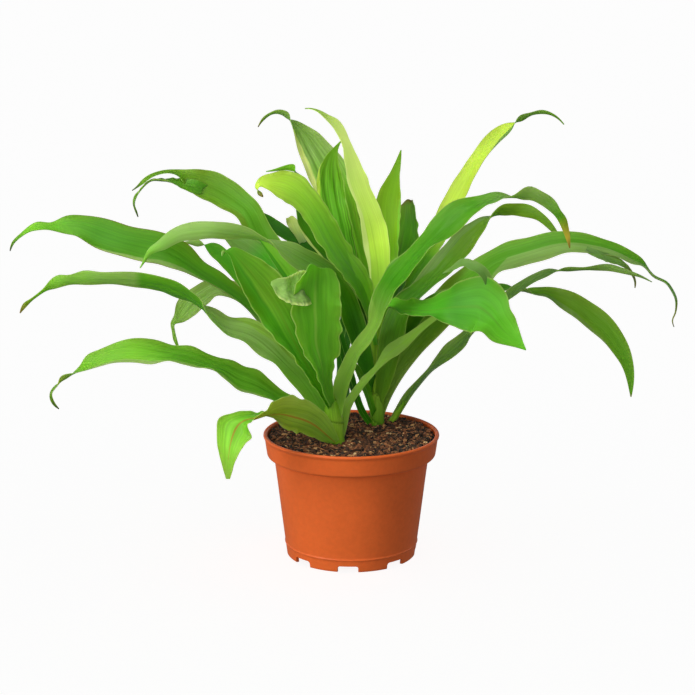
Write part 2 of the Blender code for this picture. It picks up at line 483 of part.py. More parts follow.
def natural_spline(knots, values, wanted):
    """Natural cubic through the values at the knots: its values and slopes at the wanted places."""
    gaps = np.diff(knots)
    count = len(knots)
    system = np.eye(count)
    inner = np.arange(1, count - 1)
    system[inner, inner - 1] = gaps[:-1]
    system[inner, inner] = 2.0 * (gaps[:-1] + gaps[1:])
    system[inner, inner + 1] = gaps[1:]
    slopes = np.diff(values, axis=0) / gaps[:, None]
    right = np.zeros_like(values)
    right[1:-1] = 6.0 * np.diff(slopes, axis=0)
    bend = np.linalg.solve(system, right)
    cell = np.clip(np.searchsorted(knots, wanted, side="right") - 1, 0, count - 2)
    gap = gaps[cell][:, None]
    after = wanted[:, None] - knots[cell][:, None]
    before = gap - after
    start = values[cell] / gap - bend[cell] * gap / 6.0
    end = values[cell + 1] / gap - bend[cell + 1] * gap / 6.0
    value = (bend[cell] * before ** 3 + bend[cell + 1] * after ** 3) / (6.0 * gap)
    value = value + start * before + end * after
    slope = (bend[cell + 1] * after ** 2 - bend[cell] * before ** 2) / (2.0 * gap) - start + end
    return value, slope


def leaf_widths(leaf_plan, along, seen):
    """Real width at each station: narrow foot, full middle, long taper, never less than what is seen."""
    if leaf_plan.blunt:
        rise = FOOT_SHARE + (1.0 - FOOT_SHARE) * np.clip(along / BLUNT_RISE, 0.0, 1.0)
        return np.maximum(leaf_plan.width * rise, np.abs(seen) * SEEN_MARGIN)
    rise = leaf_plan.foot + (1.0 - leaf_plan.foot) * np.clip(along / leaf_plan.rise, 0.0, 1.0) ** RISE_POWER
    taper = np.clip((1.0 - along) / (1.0 - TAPER_START), 0.0, 1.0) ** TAPER_POWER
    width = np.maximum(leaf_plan.width * rise * taper, np.abs(seen) * SEEN_MARGIN)
    width[-1] = min(width[-1], TIP_WIDTH)
    return width


def leaf_grid(leaf_plan, sections, across):
    """Points of the leaf's middle surface, sections along by across."""
    stations = np.array(leaf_plan.stations, dtype=float)
    spine = np.array([place_in_space(station) for station in leaf_plan.stations])
    seen_run = np.gradient(stations[:, :2], axis=0) * np.array([1.0, -1.0])
    seen_run /= np.linalg.norm(seen_run, axis=1, keepdims=True)
    seen_side = np.stack([-seen_run[:, 1], seen_run[:, 0]], 1)
    seen = stations[:, 3] * ((spine - VIEW_POINT) @ VIEW_AHEAD) / VIEW_SCALE
    steps = np.linalg.norm(np.diff(spine, axis=0), axis=1)
    along = np.concatenate([[0.0], np.cumsum(steps)])
    along /= along[-1]
    width = leaf_widths(leaf_plan, along, seen)
    lean = np.sqrt(np.maximum(width ** 2 - seen ** 2, 0.0))
    hand = 1.0 if stations[-1, 0] > stations[0, 0] else -1.0
    side = seen[:, None] * (seen_side[:, :1] * VIEW_RIGHT + seen_side[:, 1:] * VIEW_UP)
    side = side + (hand * lean)[:, None] * VIEW_AHEAD
    knots = np.concatenate([[0.0], np.cumsum(np.sqrt(steps))])
    wanted = np.linspace(0.0, knots[-1], sections)
    value, slope = natural_spline(knots, np.hstack([spine, side]), wanted)
    spine, side, run = value[:, :3], value[:, 3:], slope[:, :3]
    normal = np.cross(run, side)
    normal /= np.linalg.norm(normal, axis=1, keepdims=True)
    full = np.linalg.norm(side, axis=1)
    s = wanted / knots[-1]
    q = np.linspace(-1.0, 1.0, across)
    wave = np.sin(2.0 * math.pi * RIPPLE_WAVES * s[:, None] + RIPPLE_LAG * np.sign(q)[None, :])
    lift = TROUGH * full[:, None] * (q ** 2 - TROUGH_REST)
    lift = lift + RIPPLE * full[:, None] * np.sin(math.pi * s)[:, None] * wave * q ** 2
    return spine[:, None] + q[None, :, None] * side[:, None] / 2.0 + lift[..., None] * normal[:, None]


def make_blade(leaf_plan, material):
    """A leaf's closed blade: its middle surface thickened alike both ways and joined round the rim."""
    sections = max(SECTIONS_LEAST, min(SECTIONS_MOST, len(leaf_plan.stations) + SECTIONS_SPARE))
    grid = leaf_grid(leaf_plan, sections, ACROSS)
    facing = np.cross(np.gradient(grid, axis=0), np.gradient(grid, axis=1))
    facing /= np.linalg.norm(facing, axis=2, keepdims=True)
    upper = (grid + facing * THICKNESS / 2.0).reshape(-1, 3)
    lower = (grid - facing * THICKNESS / 2.0).reshape(-1, 3)
    back = len(upper)
    faces = []
    for row in range(sections - 1):
        for column in range(ACROSS - 1):
            a = row * ACROSS + column
            b = a + ACROSS
            faces += [(a, b, b + 1), (a, b + 1, a + 1)]
            faces += [(back + a, back + b + 1, back + b), (back + a, back + a + 1, back + b + 1)]
    last_row = (sections - 1) * ACROSS
    rim = [row * ACROSS for row in range(sections)]
    rim += [last_row + column for column in range(1, ACROSS)]
    rim += [row * ACROSS + ACROSS - 1 for row in range(sections - 2, -1, -1)]
    rim += list(range(ACROSS - 2, 0, -1))
    for place, here in enumerate(rim):
        after = rim[(place + 1) % len(rim)]
        faces += [(after, here, back + here), (after, back + here, back + after)]
    return add_solid(leaf_plan.name, np.concatenate([upper, lower]), faces, material, smooth=True)


def make_leaves(materials, clearances, stalk):
    """Every leaf; a joined piece becomes part of its leaf, and each blade stands clear of both stems."""
    blades = {}
    for leaf_plan in LEAVES:
        blade = make_blade(leaf_plan, materials[leaf_plan.tone])
        if leaf_plan.joined_to:
            shape_with(blades[leaf_plan.joined_to], as_guide(blade), "UNION")
        else:
            blades[leaf_plan.name] = blade
    shape_with(blades["leaf_right_slender"], as_guide(stalk), "UNION")
    for blade in blades.values():
        for clearance in clearances:
            shape_with(blade, clearance, "DIFFERENCE")
    return blades


def main():
    """Build the plant in its pot."""
    clear_scene()
    leaf_materials = {tone: make_material("leaf_" + tone, colour, 0.42) for tone, colour in TONES.items()}
    stem_material = make_material("stem_green", STEM_COLOUR, 0.45)
    make_pot(make_material("terracotta_plastic", POT_COLOUR, 0.38))
    make_stem("front_stem", FRONT_STEM, stem_material)
    make_stem("rear_stem", REAR_STEM, stem_material)
    front_clearance = as_guide(make_stem("front_stem_clearance", FRONT_STEM, grow=GAP))
    rear_clearance = as_guide(make_stem("rear_stem_clearance", REAR_STEM, grow=GAP))
    stalk_clearance = as_guide(make_stem("stalk_clearance", SLENDER_STALK, grow=GAP))
    stalk = make_stem("slender_stalk", SLENDER_STALK)
    make_leaves(leaf_materials, (front_clearance, rear_clearance), stalk)
    soil_material = make_material("potting_mix", SOIL_COLOUR, 0.95)
    make_soil(soil_material, (front_clearance, rear_clearance, stalk_clearance))


main()
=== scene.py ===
"""Looks for the potted dracaena: fine leaf blades, shoots, nursery pot, bark mix and a plain white stage."""

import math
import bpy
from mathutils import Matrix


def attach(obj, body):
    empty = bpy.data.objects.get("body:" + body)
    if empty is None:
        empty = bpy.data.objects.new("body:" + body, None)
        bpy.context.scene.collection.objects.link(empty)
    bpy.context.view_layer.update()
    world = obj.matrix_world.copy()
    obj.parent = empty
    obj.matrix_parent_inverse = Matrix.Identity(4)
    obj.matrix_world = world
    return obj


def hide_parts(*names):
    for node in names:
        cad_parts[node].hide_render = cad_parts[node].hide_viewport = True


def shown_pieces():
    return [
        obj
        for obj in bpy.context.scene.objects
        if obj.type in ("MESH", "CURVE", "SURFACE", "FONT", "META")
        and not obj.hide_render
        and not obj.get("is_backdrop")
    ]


bl_info = {
    "name": "Potted dracaena",
    "version": (1, 0, 0),
    "blender": (4, 5, 0),
    "location": "View3D > Sidebar > Dracaena",
    "description": "Makes the leaves, shoots, pot, potting mix and stage of a potted dracaena",
    "category": "Object",
}

from collections import namedtuple

import bpy
import numpy as np

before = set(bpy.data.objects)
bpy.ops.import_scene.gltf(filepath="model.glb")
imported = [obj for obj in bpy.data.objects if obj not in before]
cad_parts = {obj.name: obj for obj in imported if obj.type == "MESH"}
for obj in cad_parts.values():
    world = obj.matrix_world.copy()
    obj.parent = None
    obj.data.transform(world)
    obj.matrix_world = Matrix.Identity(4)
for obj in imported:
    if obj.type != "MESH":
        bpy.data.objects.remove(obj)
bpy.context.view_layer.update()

MM = 0.001

# The view in which the leaves' stations are read, in mm and view units
VIEW_POINT = np.array([-3.3, -1528.6, 539.3])
VIEW_DOWN = math.radians(13.11)
VIEW_SCALE = 1831.0
VIEW_MIDDLE = 347.5
VIEW_SIZE = 695.0
SENSOR_WIDTH = 36.0
VIEW_RIGHT = np.array([1.0, 0.0, 0.0])
VIEW_AHEAD = np.array([0.0, math.cos(VIEW_DOWN), -math.sin(VIEW_DOWN)])
VIEW_UP = np.array([0.0, math.sin(VIEW_DOWN), math.cos(VIEW_DOWN)])

# Leaf form, as in the solids, in shares of the blade's width and length unless it says mm
TROUGH = 0.10                   # depth of the trough along the midrib
TROUGH_REST = 0.8
RIPPLE = 0.035                  # height of the margins' long waves
RIPPLE_WAVES = 3.0
RIPPLE_LAG = 1.3                # shift of a margin's waves in radians, reversed on the other margin
TIP_WIDTH = 1.6                 # mm
TAPER_START = 0.38
TAPER_POWER = 0.75
RISE_POWER = 0.8
FOOT_SHARE = 0.22               # width at the foot
RISE_SHARE = 0.38               # length over which a blade widens
BLUNT_RISE = 0.5
SEEN_MARGIN = 1.02              # a blade is at least this much wider than what is seen of it

# A station of a leaf is a column and row of the view, the depth in mm behind the pot's axis, and the leaf's
# seen width there in view units, negative where the underside is seen
Station = namedtuple("Station", "column row depth span")
Leaf = namedtuple("Leaf", "name tone width stations rise foot blunt joined_to")


def leaf(name, tone, width, stations, rise=RISE_SHARE, foot=FOOT_SHARE, blunt=False, joined_to=""):
    """One leaf: width in mm across the flattened blade, rise the share of its length over which it widens."""
    return Leaf(name, tone, width, tuple(Station(*station) for station in stations), rise, foot, blunt,
                joined_to)


LEAVES = (
    leaf("leaf_far_left_upper", "dark", 38, rise=0.6, stations=(
        (331, 420, -24, 9), (316, 391, -28, 15), (301, 364, -30, 19), (284, 338, -29, 20),
        (268, 320, -27, 18), (252, 306, -29, 14), (236, 293, -33, 13), (218, 281, -40, 16),
        (200, 270, -43, 18), (182, 258, -45, 25), (165, 250, -46, 31), (148, 246, -46, 34),
        (125, 241, -46, 31), (100, 233, -43, 32), (80, 226, -40, 22), (65, 225, -38, 18),
        (50, 226.5, -36, 8), (38, 226, -35, 9), (28, 230, -34, 6), (20, 236, -33, 4),
        (13, 243, -32, 3), (10, 251, -32, 1))),
    leaf("leaf_far_left_middle", "green", 34, rise=0.45, stations=(
        (334, 434, -24, 8), (325, 417, -30, 16), (314, 396.5, -39, 19), (302, 379, -47, 21),
        (291, 367, -52, 20), (282, 357.5, -53, 19), (273, 349, -53, 25), (260, 338, -53, 27),
        (245, 330, -54, 25), (230, 326, -56, 21), (217, 318, -58, 11), (206, 308, -59, 2),
        (198, 302, -60, -7), (188, 295, -61, -13), (176, 290, -62, -17), (163, 285, -62, -15),
        (150, 282, -62, -12), (138, 280, -61, -14), (120, 279, -60, -12), (100, 278.5, -58, -11),
        (84, 278, -56, -14), (70, 280, -54, -10), (60, 281, -53, -12), (52, 285, -51, -9),
        (46, 289, -50, -3.5), (39, 294, -49, -1.5), (31, 300, -48, -2), (25, 305, -47, -4.5),
        (20, 313, -46, -1))),
    leaf("leaf_left_lower", "bright", 32, stations=(
        (332, 437, -21, 7), (318, 427, -32, 11), (302, 412, -43, 13), (286, 401, -50, 13),
        (270, 391, -56, 14), (255, 383, -62, 24), (240, 377, -66, 25), (225, 368, -70, 17),
        (210, 363, -74, 14), (195, 358, -77, 17), (175, 354, -80, 15), (155, 352, -83, 23),
        (135, 350.5, -86, 25), (115, 353, -88, 20), (100, 358, -89, 17), (90, 362, -90, 15),
        (82, 368, -90, 8), (75, 372, -91, 2), (68, 375.5, -91, -3.5), (62, 379, -91, -4),
        (57, 385, -92, 2), (52, 391, -92, 3), (51, 397, -92, 3.5), (54, 404, -92, 3),
        (59, 409, -92, 1))),
    leaf("leaf_red_midrib", "red", 40, stations=(
        (337, 443, -27, -7), (326, 433, -42, -21), (314, 423, -54, -31), (302, 417, -63, -35),
        (291, 414, -70, -34), (281, 412, -76, -28), (272, 412, -82, -15), (262, 413.5, -88, -2),
        (252, 416, -94, 8), (243, 419.5, -98, 19), (236, 427, -102, 37), (231, 440, -105, 30),
        (229, 451, -107, 22), (228, 462, -107, 14), (228, 471, -106, 9), (228, 479, -105, 4))),
    leaf("leaf_left_curling", "olive", 28, stations=(
        (334, 430, -19, 6), (314, 392, -2, 12), (290, 347, 8, 13), (265, 314, 12, 14),
        (240, 294, 14, 16), (217, 287, 14, 18), (203, 294, 12, 22), (192, 302, 9, 24),
        (184, 311, 6, 21), (178, 319, 3, 11), (173, 323.5, 1, 5), (173.5, 331, -1, 3.5),
        (175, 339, -2, 4), (178, 347, -3, 2.5), (181, 355, -4, 1))),
    leaf("leaf_left_grey_back", "dark", 32, stations=(
        (376, 395, 30, 7), (369, 375, 23, 13), (361, 345, 16, 19), (352, 315, 10, 20),
        (343, 290, 2, 17), (330.5, 273, -9, 18), (314.5, 265.5, -20, 23), (299.5, 258, -30, 24),
        (285, 248.5, -38, 14), (270, 240.5, -45, 2), (255, 235.5, -50, -7), (240, 232, -54, -12),
        (225, 231, -57, -15), (210, 230, -60, -17), (195, 231, -61, -18), (181, 233.5, -62, -16),
        (170, 239, -62, -14), (160, 246, -62, -10), (152, 250, -61, -7), (147, 256, -60, -4),
        (143, 263, -60, -2), (140, 268, -60, -1))),
    leaf("leaf_left_forked", "green", 34, stations=(
        (333, 418, -19, 6), (326, 385, 4, 13), (314, 345, 26, 19), (298, 306, 41, 25),
        (281.5, 270, 51, 30), (266, 246.5, 56, 30), (256, 226, 61, 25), (247, 210, 65, 25),
        (235, 200, 68, 28), (221, 191, 70, 31), (205, 184, 71, 30), (192, 179, 71, 22),
        (182, 174, 71, 10), (170, 171.5, 71, 4.5), (159, 173, 71, 4), (150, 176.5, 71, 4.5),
        (142, 182.5, 71, 4), (137, 187, 71, 2), (132, 190.5, 71, 0.8))),
    leaf("leaf_left_forked_prong", "green", 18, joined_to="leaf_left_forked", stations=(
        (206, 190, 71, 10), (196, 187, 67, 14), (187, 184.5, 66, 12), (178, 182, 66, 9),
        (170, 180, 66, 6), (162, 179.5, 66, 2), (152, 179.5, 65, 1.4), (145, 184, 65, 1.6),
        (139, 191, 65, 2.5), (135, 198, 64, 3.5), (134, 205, 64, 2), (136, 211, 64, 2),
        (138, 217, 64, 1))),
    leaf("leaf_top_left_pleated", "green", 42, stations=(
        (375, 334, 39, 7), (368, 300, 54, 15), (360, 265, 66, 24), (350, 230, 74, 32),
        (339, 198, 78, 38), (326, 169, 82, 39), (313, 148, 85, 31), (302, 132, 86, 19),
        (293, 121.5, 87, 6), (288, 116.5, 87, -4), (284, 113.5, 86, -4.5), (278, 112, 86, -3),
        (271, 113.5, 85, -1.5), (265, 117.5, 84, -2), (261, 122, 84, -1.5), (258, 127, 84, -0.8))),
    leaf("leaf_top_lime", "lime", 26, stations=(
        (379.5, 313, 35, 6), (380, 290, 34, 16), (379, 265, 34, 22), (376, 242, 35, 26),
        (372, 220, 36, 25), (366, 203, 36, 21), (360, 188, 36, 20), (355, 172, 35, 18),
        (350, 155, 34, 13), (345.5, 142, 33, 10), (340, 130, 31, 10), (334, 122, 29, 9),
        (327, 117, 27, 6), (320, 112, 25, 3.5), (312, 108.8, 23, 1.6), (305, 108.5, 21, 1))),
    leaf("leaf_top_striped", "striped", 30, stations=(
        (377, 325, 35, 6), (362, 290, 40, 12), (350, 262, 44, 18), (342, 240, 46, 24),
        (336, 218, 47, 27), (332, 200, 48, 28), (330, 183, 49, 28), (330, 170, 49, 22),
        (332, 158, 49, 13), (336, 148.5, 48, 5), (341, 141, 48, 1))),
    leaf("leaf_top_arching", "green", 38, stations=(
        (374, 324, 31, 6), (368, 304, 16, 13), (362, 285, -3, 20), (352, 270, -16, 25),
        (339, 253, -24, 26), (326, 231, -31, 25), (315, 212, -36, 26), (304, 198, -40, 28),
        (292, 188, -43, 32), (280, 183.5, -45, 27), (269, 182, -47, 17), (260, 183, -48, 9),
        (257, 188, -49, 3.5), (259, 192.5, -49.5, -4), (263, 197, -50, -1))),
    leaf("leaf_top_left_dark", "dark", 24, stations=(
        (376, 344, 39, 6), (360, 302, 56, 10), (342, 272, 58, 14), (325, 250, 62, 17),
        (311, 232, 65, 17), (302, 212, 68, 12), (298, 192, 70, 9), (297, 176, 71, 8),
        (293, 168, 70, -7), (284, 168, 69, -4), (275, 170, 68, -2), (266, 171.5, 67, -0.8))),
    leaf("leaf_back_left_deep", "deep", 24, stations=(
        (377, 350, 39, 6), (354, 296, 66, 11), (330, 262, 80, 15), (310, 245, 88, 15),
        (293, 237, 93, 13), (279, 229, 96, 13), (268, 222, 98, 13), (256, 214, 99, 8),
        (246, 208, 100, 1))),
    leaf("leaf_back_left_flap", "pale", 9, joined_to="leaf_back_left_deep", blunt=True, stations=(
        (303, 243, 90, 7), (299, 234, 93, 9), (295, 227, 95, 11), (292, 222, 96, 11),
        (289, 217, 96, 8))),
    leaf("leaf_back_upright", "green", 26, stations=(
        (381, 321, 38, 6), (386, 303, 50, 8), (389, 275, 64, 12), (390, 250, 72, 16),
        (389.5, 228, 77, 21), (388, 210, 80, 25), (390, 193, 81, 22), (394, 177, 80, 12),
        (398, 163, 79, 6), (401, 150, 78, 1))),
    leaf("leaf_back_dry_top", "dark", 30, blunt=True, stations=(
        (383, 338, 37, 6), (390, 310, 60, 12), (396, 280, 84, 18), (401, 255, 94, 23),
        (405, 238, 99, 26), (407, 224, 102, 22), (407.5, 211, 104, 16), (407, 200, 105, 11))),
    leaf("leaf_centre_left_bright", "bright", 16, stations=(
        (331, 399, -22, 6), (322, 360, -6, 11), (310, 315, -2, 15), (298, 288, 2, 16),
        (287, 270, 5, 16), (276, 256, 7, 12), (265, 244, 8, 6), (257, 236, 9, 1))),
    leaf("leaf_right_lime", "lime", 24, stations=(
        (382, 352, 37, 6), (394, 327, 45, 6), (402, 303, 60, 6), (408, 286, 73, 9),
        (418, 268, 85, 13), (430, 248, 94, 17), (441, 227, 101, 19), (451, 205, 105, 19),
        (462, 184, 108, 18), (473, 165, 110, 14), (484, 149, 112, 14), (496, 136, 113, 14),
        (509, 126.5, 114, 9), (520, 119, 115, -5), (530, 114.5, 115, -2.5), (541, 112, 115, -3.5),
        (551, 114, 115, -2.2), (559, 119, 115, -1.4), (564, 124.5, 115, -1))),
    leaf("leaf_right_long_dark", "dark", 36, stations=(
        (337, 420, -26, 8), (339, 404, -33, 11), (341.5, 385, -38, 15), (348, 367.5, -42, 15),
        (356.5, 350.5, -45, 14), (368, 335, -48, 13), (376, 318, -50, 14), (380, 302, -52, 15),
        (387.5, 287, -54, 18), (400, 271, -56, 20), (415, 254, -58, 17), (430, 239, -59, 20),
        (444, 226, -60, 27), (457, 214, -61, 28), (470, 206, -61, 19), (482, 201, -60, 12),
        (492, 198, -59, 12), (502, 196, -58, 6), (511, 196, -57, 1), (521, 195, -56, -8),
        (530, 193.5, -55, -12.5), (539, 197, -54, -11), (547, 201.5, -52, -11),
        (553, 207, -51, -10), (557.5, 213, -50, -7), (562, 219, -49, -8), (565, 227, -48, -7),
        (567.5, 236, -47, -5), (569.8, 248, -47, -1))),
    leaf("leaf_right_olive", "olive", 34, stations=(
        (379, 402, 27, 8), (384, 380, 20, 16), (389, 352, 15, 23), (394, 328, 14, 25),
        (402, 306, 23, 20), (414.5, 292.5, 39, 16), (430, 278, 59, 18), (446, 261, 70, 24),
        (458, 248, 78, 25), (468, 236, 85, 22), (478, 226, 90, 15), (486, 219, 93, 7),
        (492, 215, 95, -2), (498, 212, 96, -8), (505, 210, 97, -11), (513, 209.5, 97, -11),
        (521, 210, 97, -13), (529, 211.5, 96, -12.5), (537, 215, 94, -9.5), (544, 220, 92, -8),
        (550, 226, 90, -6.5), (556, 233, 88, -4), (561, 240, 87, -1))),
    leaf("leaf_far_right", "dark", 38, stations=(
        (379, 420, 34, 7), (382, 400, 37, 15), (388.5, 381, 40, 21), (399.5, 360.5, 43, 25),
        (412.5, 343, 46, 28), (427.5, 325, 49, 31), (444.5, 306, 52, 33), (461.5, 290, 55, 31),
        (478, 275, 57, 26), (493, 263, 58, 25), (511, 256, 58, 27), (530, 250.5, 57, 28),
        (550, 245, 54, 27), (570, 242, 50, 23), (590, 244, 46, 19), (605, 247, 43, 16),
        (615, 250, 41, 14), (625, 254.5, 39, 13), (635, 259.5, 38, 11), (642, 263, 37, 8),
        (648, 269, 36, 4.5), (654, 276, 35, 3.5), (661, 279.5, 34, 3), (667, 283, 33, 4),
        (672, 290, 33, 4), (676, 299, 32, 3.5), (676.3, 307, 32, 2.5), (675, 314, 32, 1.7),
        (672.5, 320, 32, 1.3), (674, 327, 32, 0.8))),
    leaf("leaf_far_right_prong", "dark", 14, joined_to="leaf_far_right", stations=(
        (586, 249, 42, 6), (600, 255, 32, 9), (611, 259, 30, 9), (620, 262.5, 29, 8),
        (627, 267.5, 28, 5), (632, 274, 27.5, 3.5), (635, 281, 27, 2.5), (635, 288, 27, 1))),
    leaf("leaf_front_right", "bright", 56, rise=0.9, foot=0.1, stations=(
        (376, 345, 26.2, 4.5), (374, 332, 2, 5), (376, 315, -8, 6), (384, 306, -18, 6),
        (393, 304, -29, 9), (403, 307.5, -42, 14), (415, 308, -53, 18), (432, 308, -65, 22),
        (449, 307, -75, 37), (464, 306, -83, 50), (478, 306, -89, 60), (487, 311, -92, 56),
        (495, 319, -95, 40), (504, 330, -97, 33), (513, 338, -98, 20), (520, 344.5, -99, 9),
        (526, 350, -100, 1))),
    leaf("leaf_front_right_fold", "pale", 10, joined_to="leaf_front_right", stations=(
        (489, 283, -81, 9), (485.5, 275, -82.5, 10), (479, 268.5, -83.5, 10.5),
        (471.5, 265, -81.5, 10), (463, 262.5, -78, 8), (454, 267.5, -74, 4.5), (443, 273, -70, 1))),
    leaf("leaf_right_drooping", "olive", 28, rise=0.6, stations=(
        (379, 388, 32, 7), (388, 362, 34, 12), (400, 338, 34, 14), (412, 322, 34, 14),
        (428, 305, 33, 14), (450, 295, 27, 12), (475, 290, 26, 10), (497, 288, 28, 8),
        (511, 287.5, 31, 5), (522, 289, 33, -2), (532, 291, 33, 8), (543, 291.5, 32, 11),
        (555, 295, 31, 16), (567, 300.5, 29, 20), (580, 308, 27, 22), (592, 317, 25, 24),
        (604, 327, 22, 23), (614, 338.5, 20, 21), (622, 351.5, 17, 17), (628, 366, 14, 12),
        (630.5, 380, 12, 7.5), (631, 390, 11, 4), (631, 397, 10, 1))),
    leaf("leaf_right_slender", "grey", 20, stations=(
        (394, 418, 40, 7), (399, 409.5, 39, 7.5), (407, 396.5, 37, 7.5), (416.5, 385, 34, 6),
        (426.5, 374, 31, 5), (433.5, 366.5, 28, 6), (443, 357, 25, 12), (452, 349, 22, 14),
        (461, 341, 19, 11), (469, 332, 15, 8), (480, 321, 11, 8), (494, 308, 6, 8),
        (507, 296.5, 3, 8.5), (517, 288.5, 1, 9), (528, 281.5, -1, 8), (540, 275.5, -2, 7),
        (552, 271, -3, 4.5), (565, 269.5, -4, -3.5), (580, 269, -4, -2.5), (595, 268, -4, -4.5),
        (608, 267.5, -4, -7), (620, 270, -4, -6), (632, 273.5, -4, -4), (641, 276.5, -4, -2.3),
        (652, 282, -4, -0.8))),
    leaf("leaf_front_thin_olive", "olive", 18, rise=0.7, stations=(
        (341, 438, -22, 6), (343, 424, -16, 9), (346, 408, -12, 10), (353, 396, -9, 8),
        (361, 385, -7, 7), (369, 376, -5, 6), (378, 366.5, -3, 6), (387, 355, -2, 12),
        (397, 347, -1, 14), (408, 339, -1, 10), (420, 329, -1, 7), (433, 319, -2, 6),
        (447, 310, -3, 3), (458, 304, -3, 1))),
    leaf("leaf_front_crumpled", "bright", 46, blunt=True, stations=(
        (333, 406, -31, 6), (329, 396, -47, 8), (325.5, 380, -58, 14), (323, 364, -67, 23),
        (320.5, 348, -75, 34), (318.5, 330, -81, 46), (316, 309, -86, 50), (317.5, 291, -90, 43),
        (319.5, 277, -92, 38), (320, 267, -94, 29))),
    leaf("leaf_front_crumpled_margin", "pale", 26, joined_to="leaf_front_crumpled", stations=(
        (311, 288, -84, 32), (304, 288, -95, 36), (297, 289, -101, 33), (289, 289, -106, 28),
        (282, 287, -109, 21), (276, 284, -110, 12), (271, 283, -110, 3))),
    leaf("leaf_front_broad", "green", 44, stations=(
        (331, 408, -30, 6), (323, 390, -48, 11), (313, 370, -61, 18), (302, 349, -66, 27),
        (289, 327, -70, 38), (276, 305, -72, 43), (263, 286, -73, 41), (250, 270, -73, 31),
        (239, 258, -73, 18), (230, 251, -73, 8), (223, 252, -73, -3), (222, 256, -73, -1))),
    leaf("leaf_left_narrow", "bright", 22, stations=(
        (330, 410, -22, 6), (310, 375, -20, 9), (290, 342, -16, 11), (272, 317, -11, 11),
        (256, 297, -8, 12), (244, 280, -5, 15), (232, 265, -5, 17), (220, 254, -5, 15),
        (210, 247, -6, 10), (200, 243.5, -7, -6), (190, 242.5, -8, -4), (180, 243.5, -9, -2))),
    leaf("leaf_left_grey", "grey", 24, stations=(
        (332, 405, -21, 6), (318, 370, 0, 12), (300, 325, 8, 16), (283, 290, 16, 18),
        (268, 266, 24, -20), (253, 251.5, 26, -23), (240, 242, 27, -21), (228, 234.5, 27, -12),
        (217, 229, 27, -1))),
    leaf("leaf_small_left", "deep", 10, stations=(
        (370, 423, 27, 6), (362, 411, 17, 7), (357, 398, 9, 7), (353, 386, 2, 8), (349, 372, -4, 9),
        (345, 356, -8, 9), (340, 338, -14, 9), (335, 318, -15, 7), (330, 300, -18, 2))),
    leaf("leaf_small_short", "deep", 10, stations=(
        (375, 417, 28, 6), (370.5, 402, 17, 7), (366, 388, 12, 8), (361.5, 377, 9, 7),
        (356.5, 367, 6, 5), (353, 361, 4, 1))),
    leaf("leaf_small_upright", "deep", 18, stations=(
        (339, 439, -17, 5), (344, 420, 1, 9), (344, 396, 6, 11), (343, 374, 14, 12),
        (343, 350, 20, 13), (346, 325, 24, 14), (350, 302, 26, 10), (353, 285, 28, 2))),
)

# How each leaf is coloured. upper, under and fold are one tone, or a few from the foot (0) to the tip (1)
# where the leaf changes: its foot, a bend, a twist, a dry tip, and also painted shade where a leaf lies under
# others and painted highlights where light catches it. light is painted light and shade: it makes a whole
# leaf lighter or darker for how light falls on it. fold is the tone painted past a line for the half that
# bends away, side the edge that it lies on, and border where the fold line runs across the blade (-1 to 1)
# along its length. streak is the strength of the lengthwise streaks, streaks their number across the blade
# and grain their number along it. rib is the midrib's tone, rim the margin's and edge how wide the margin's
# tone reaches. pleat, crinkle and crumple are shares of the full relief, and shine is a painted glow:
# emission that stands for the light that comes through the leaf from behind.
Look = namedtuple("Look", "upper under fold light side border streak streaks grain rib rim edge pleat "
                          "crinkle crumple shine")
NO_FOLD = ((0.0, 1.3), (1.0, 1.3))


def look(upper, under="under", fold="under", light=1.0, side=1, border=NO_FOLD, streak=0.12, streaks=9.0,
         grain=2.2, rib="", rim="rim", edge=0.05, pleat=0.7, crinkle=1.0, crumple=0.0, shine=0.0):
    """One leaf's colouring, with plain values where a leaf has nothing special."""
    return Look(upper, under, fold, light, side, border, streak, streaks, grain, rib, rim, edge, pleat,
                crinkle, crumple, shine)


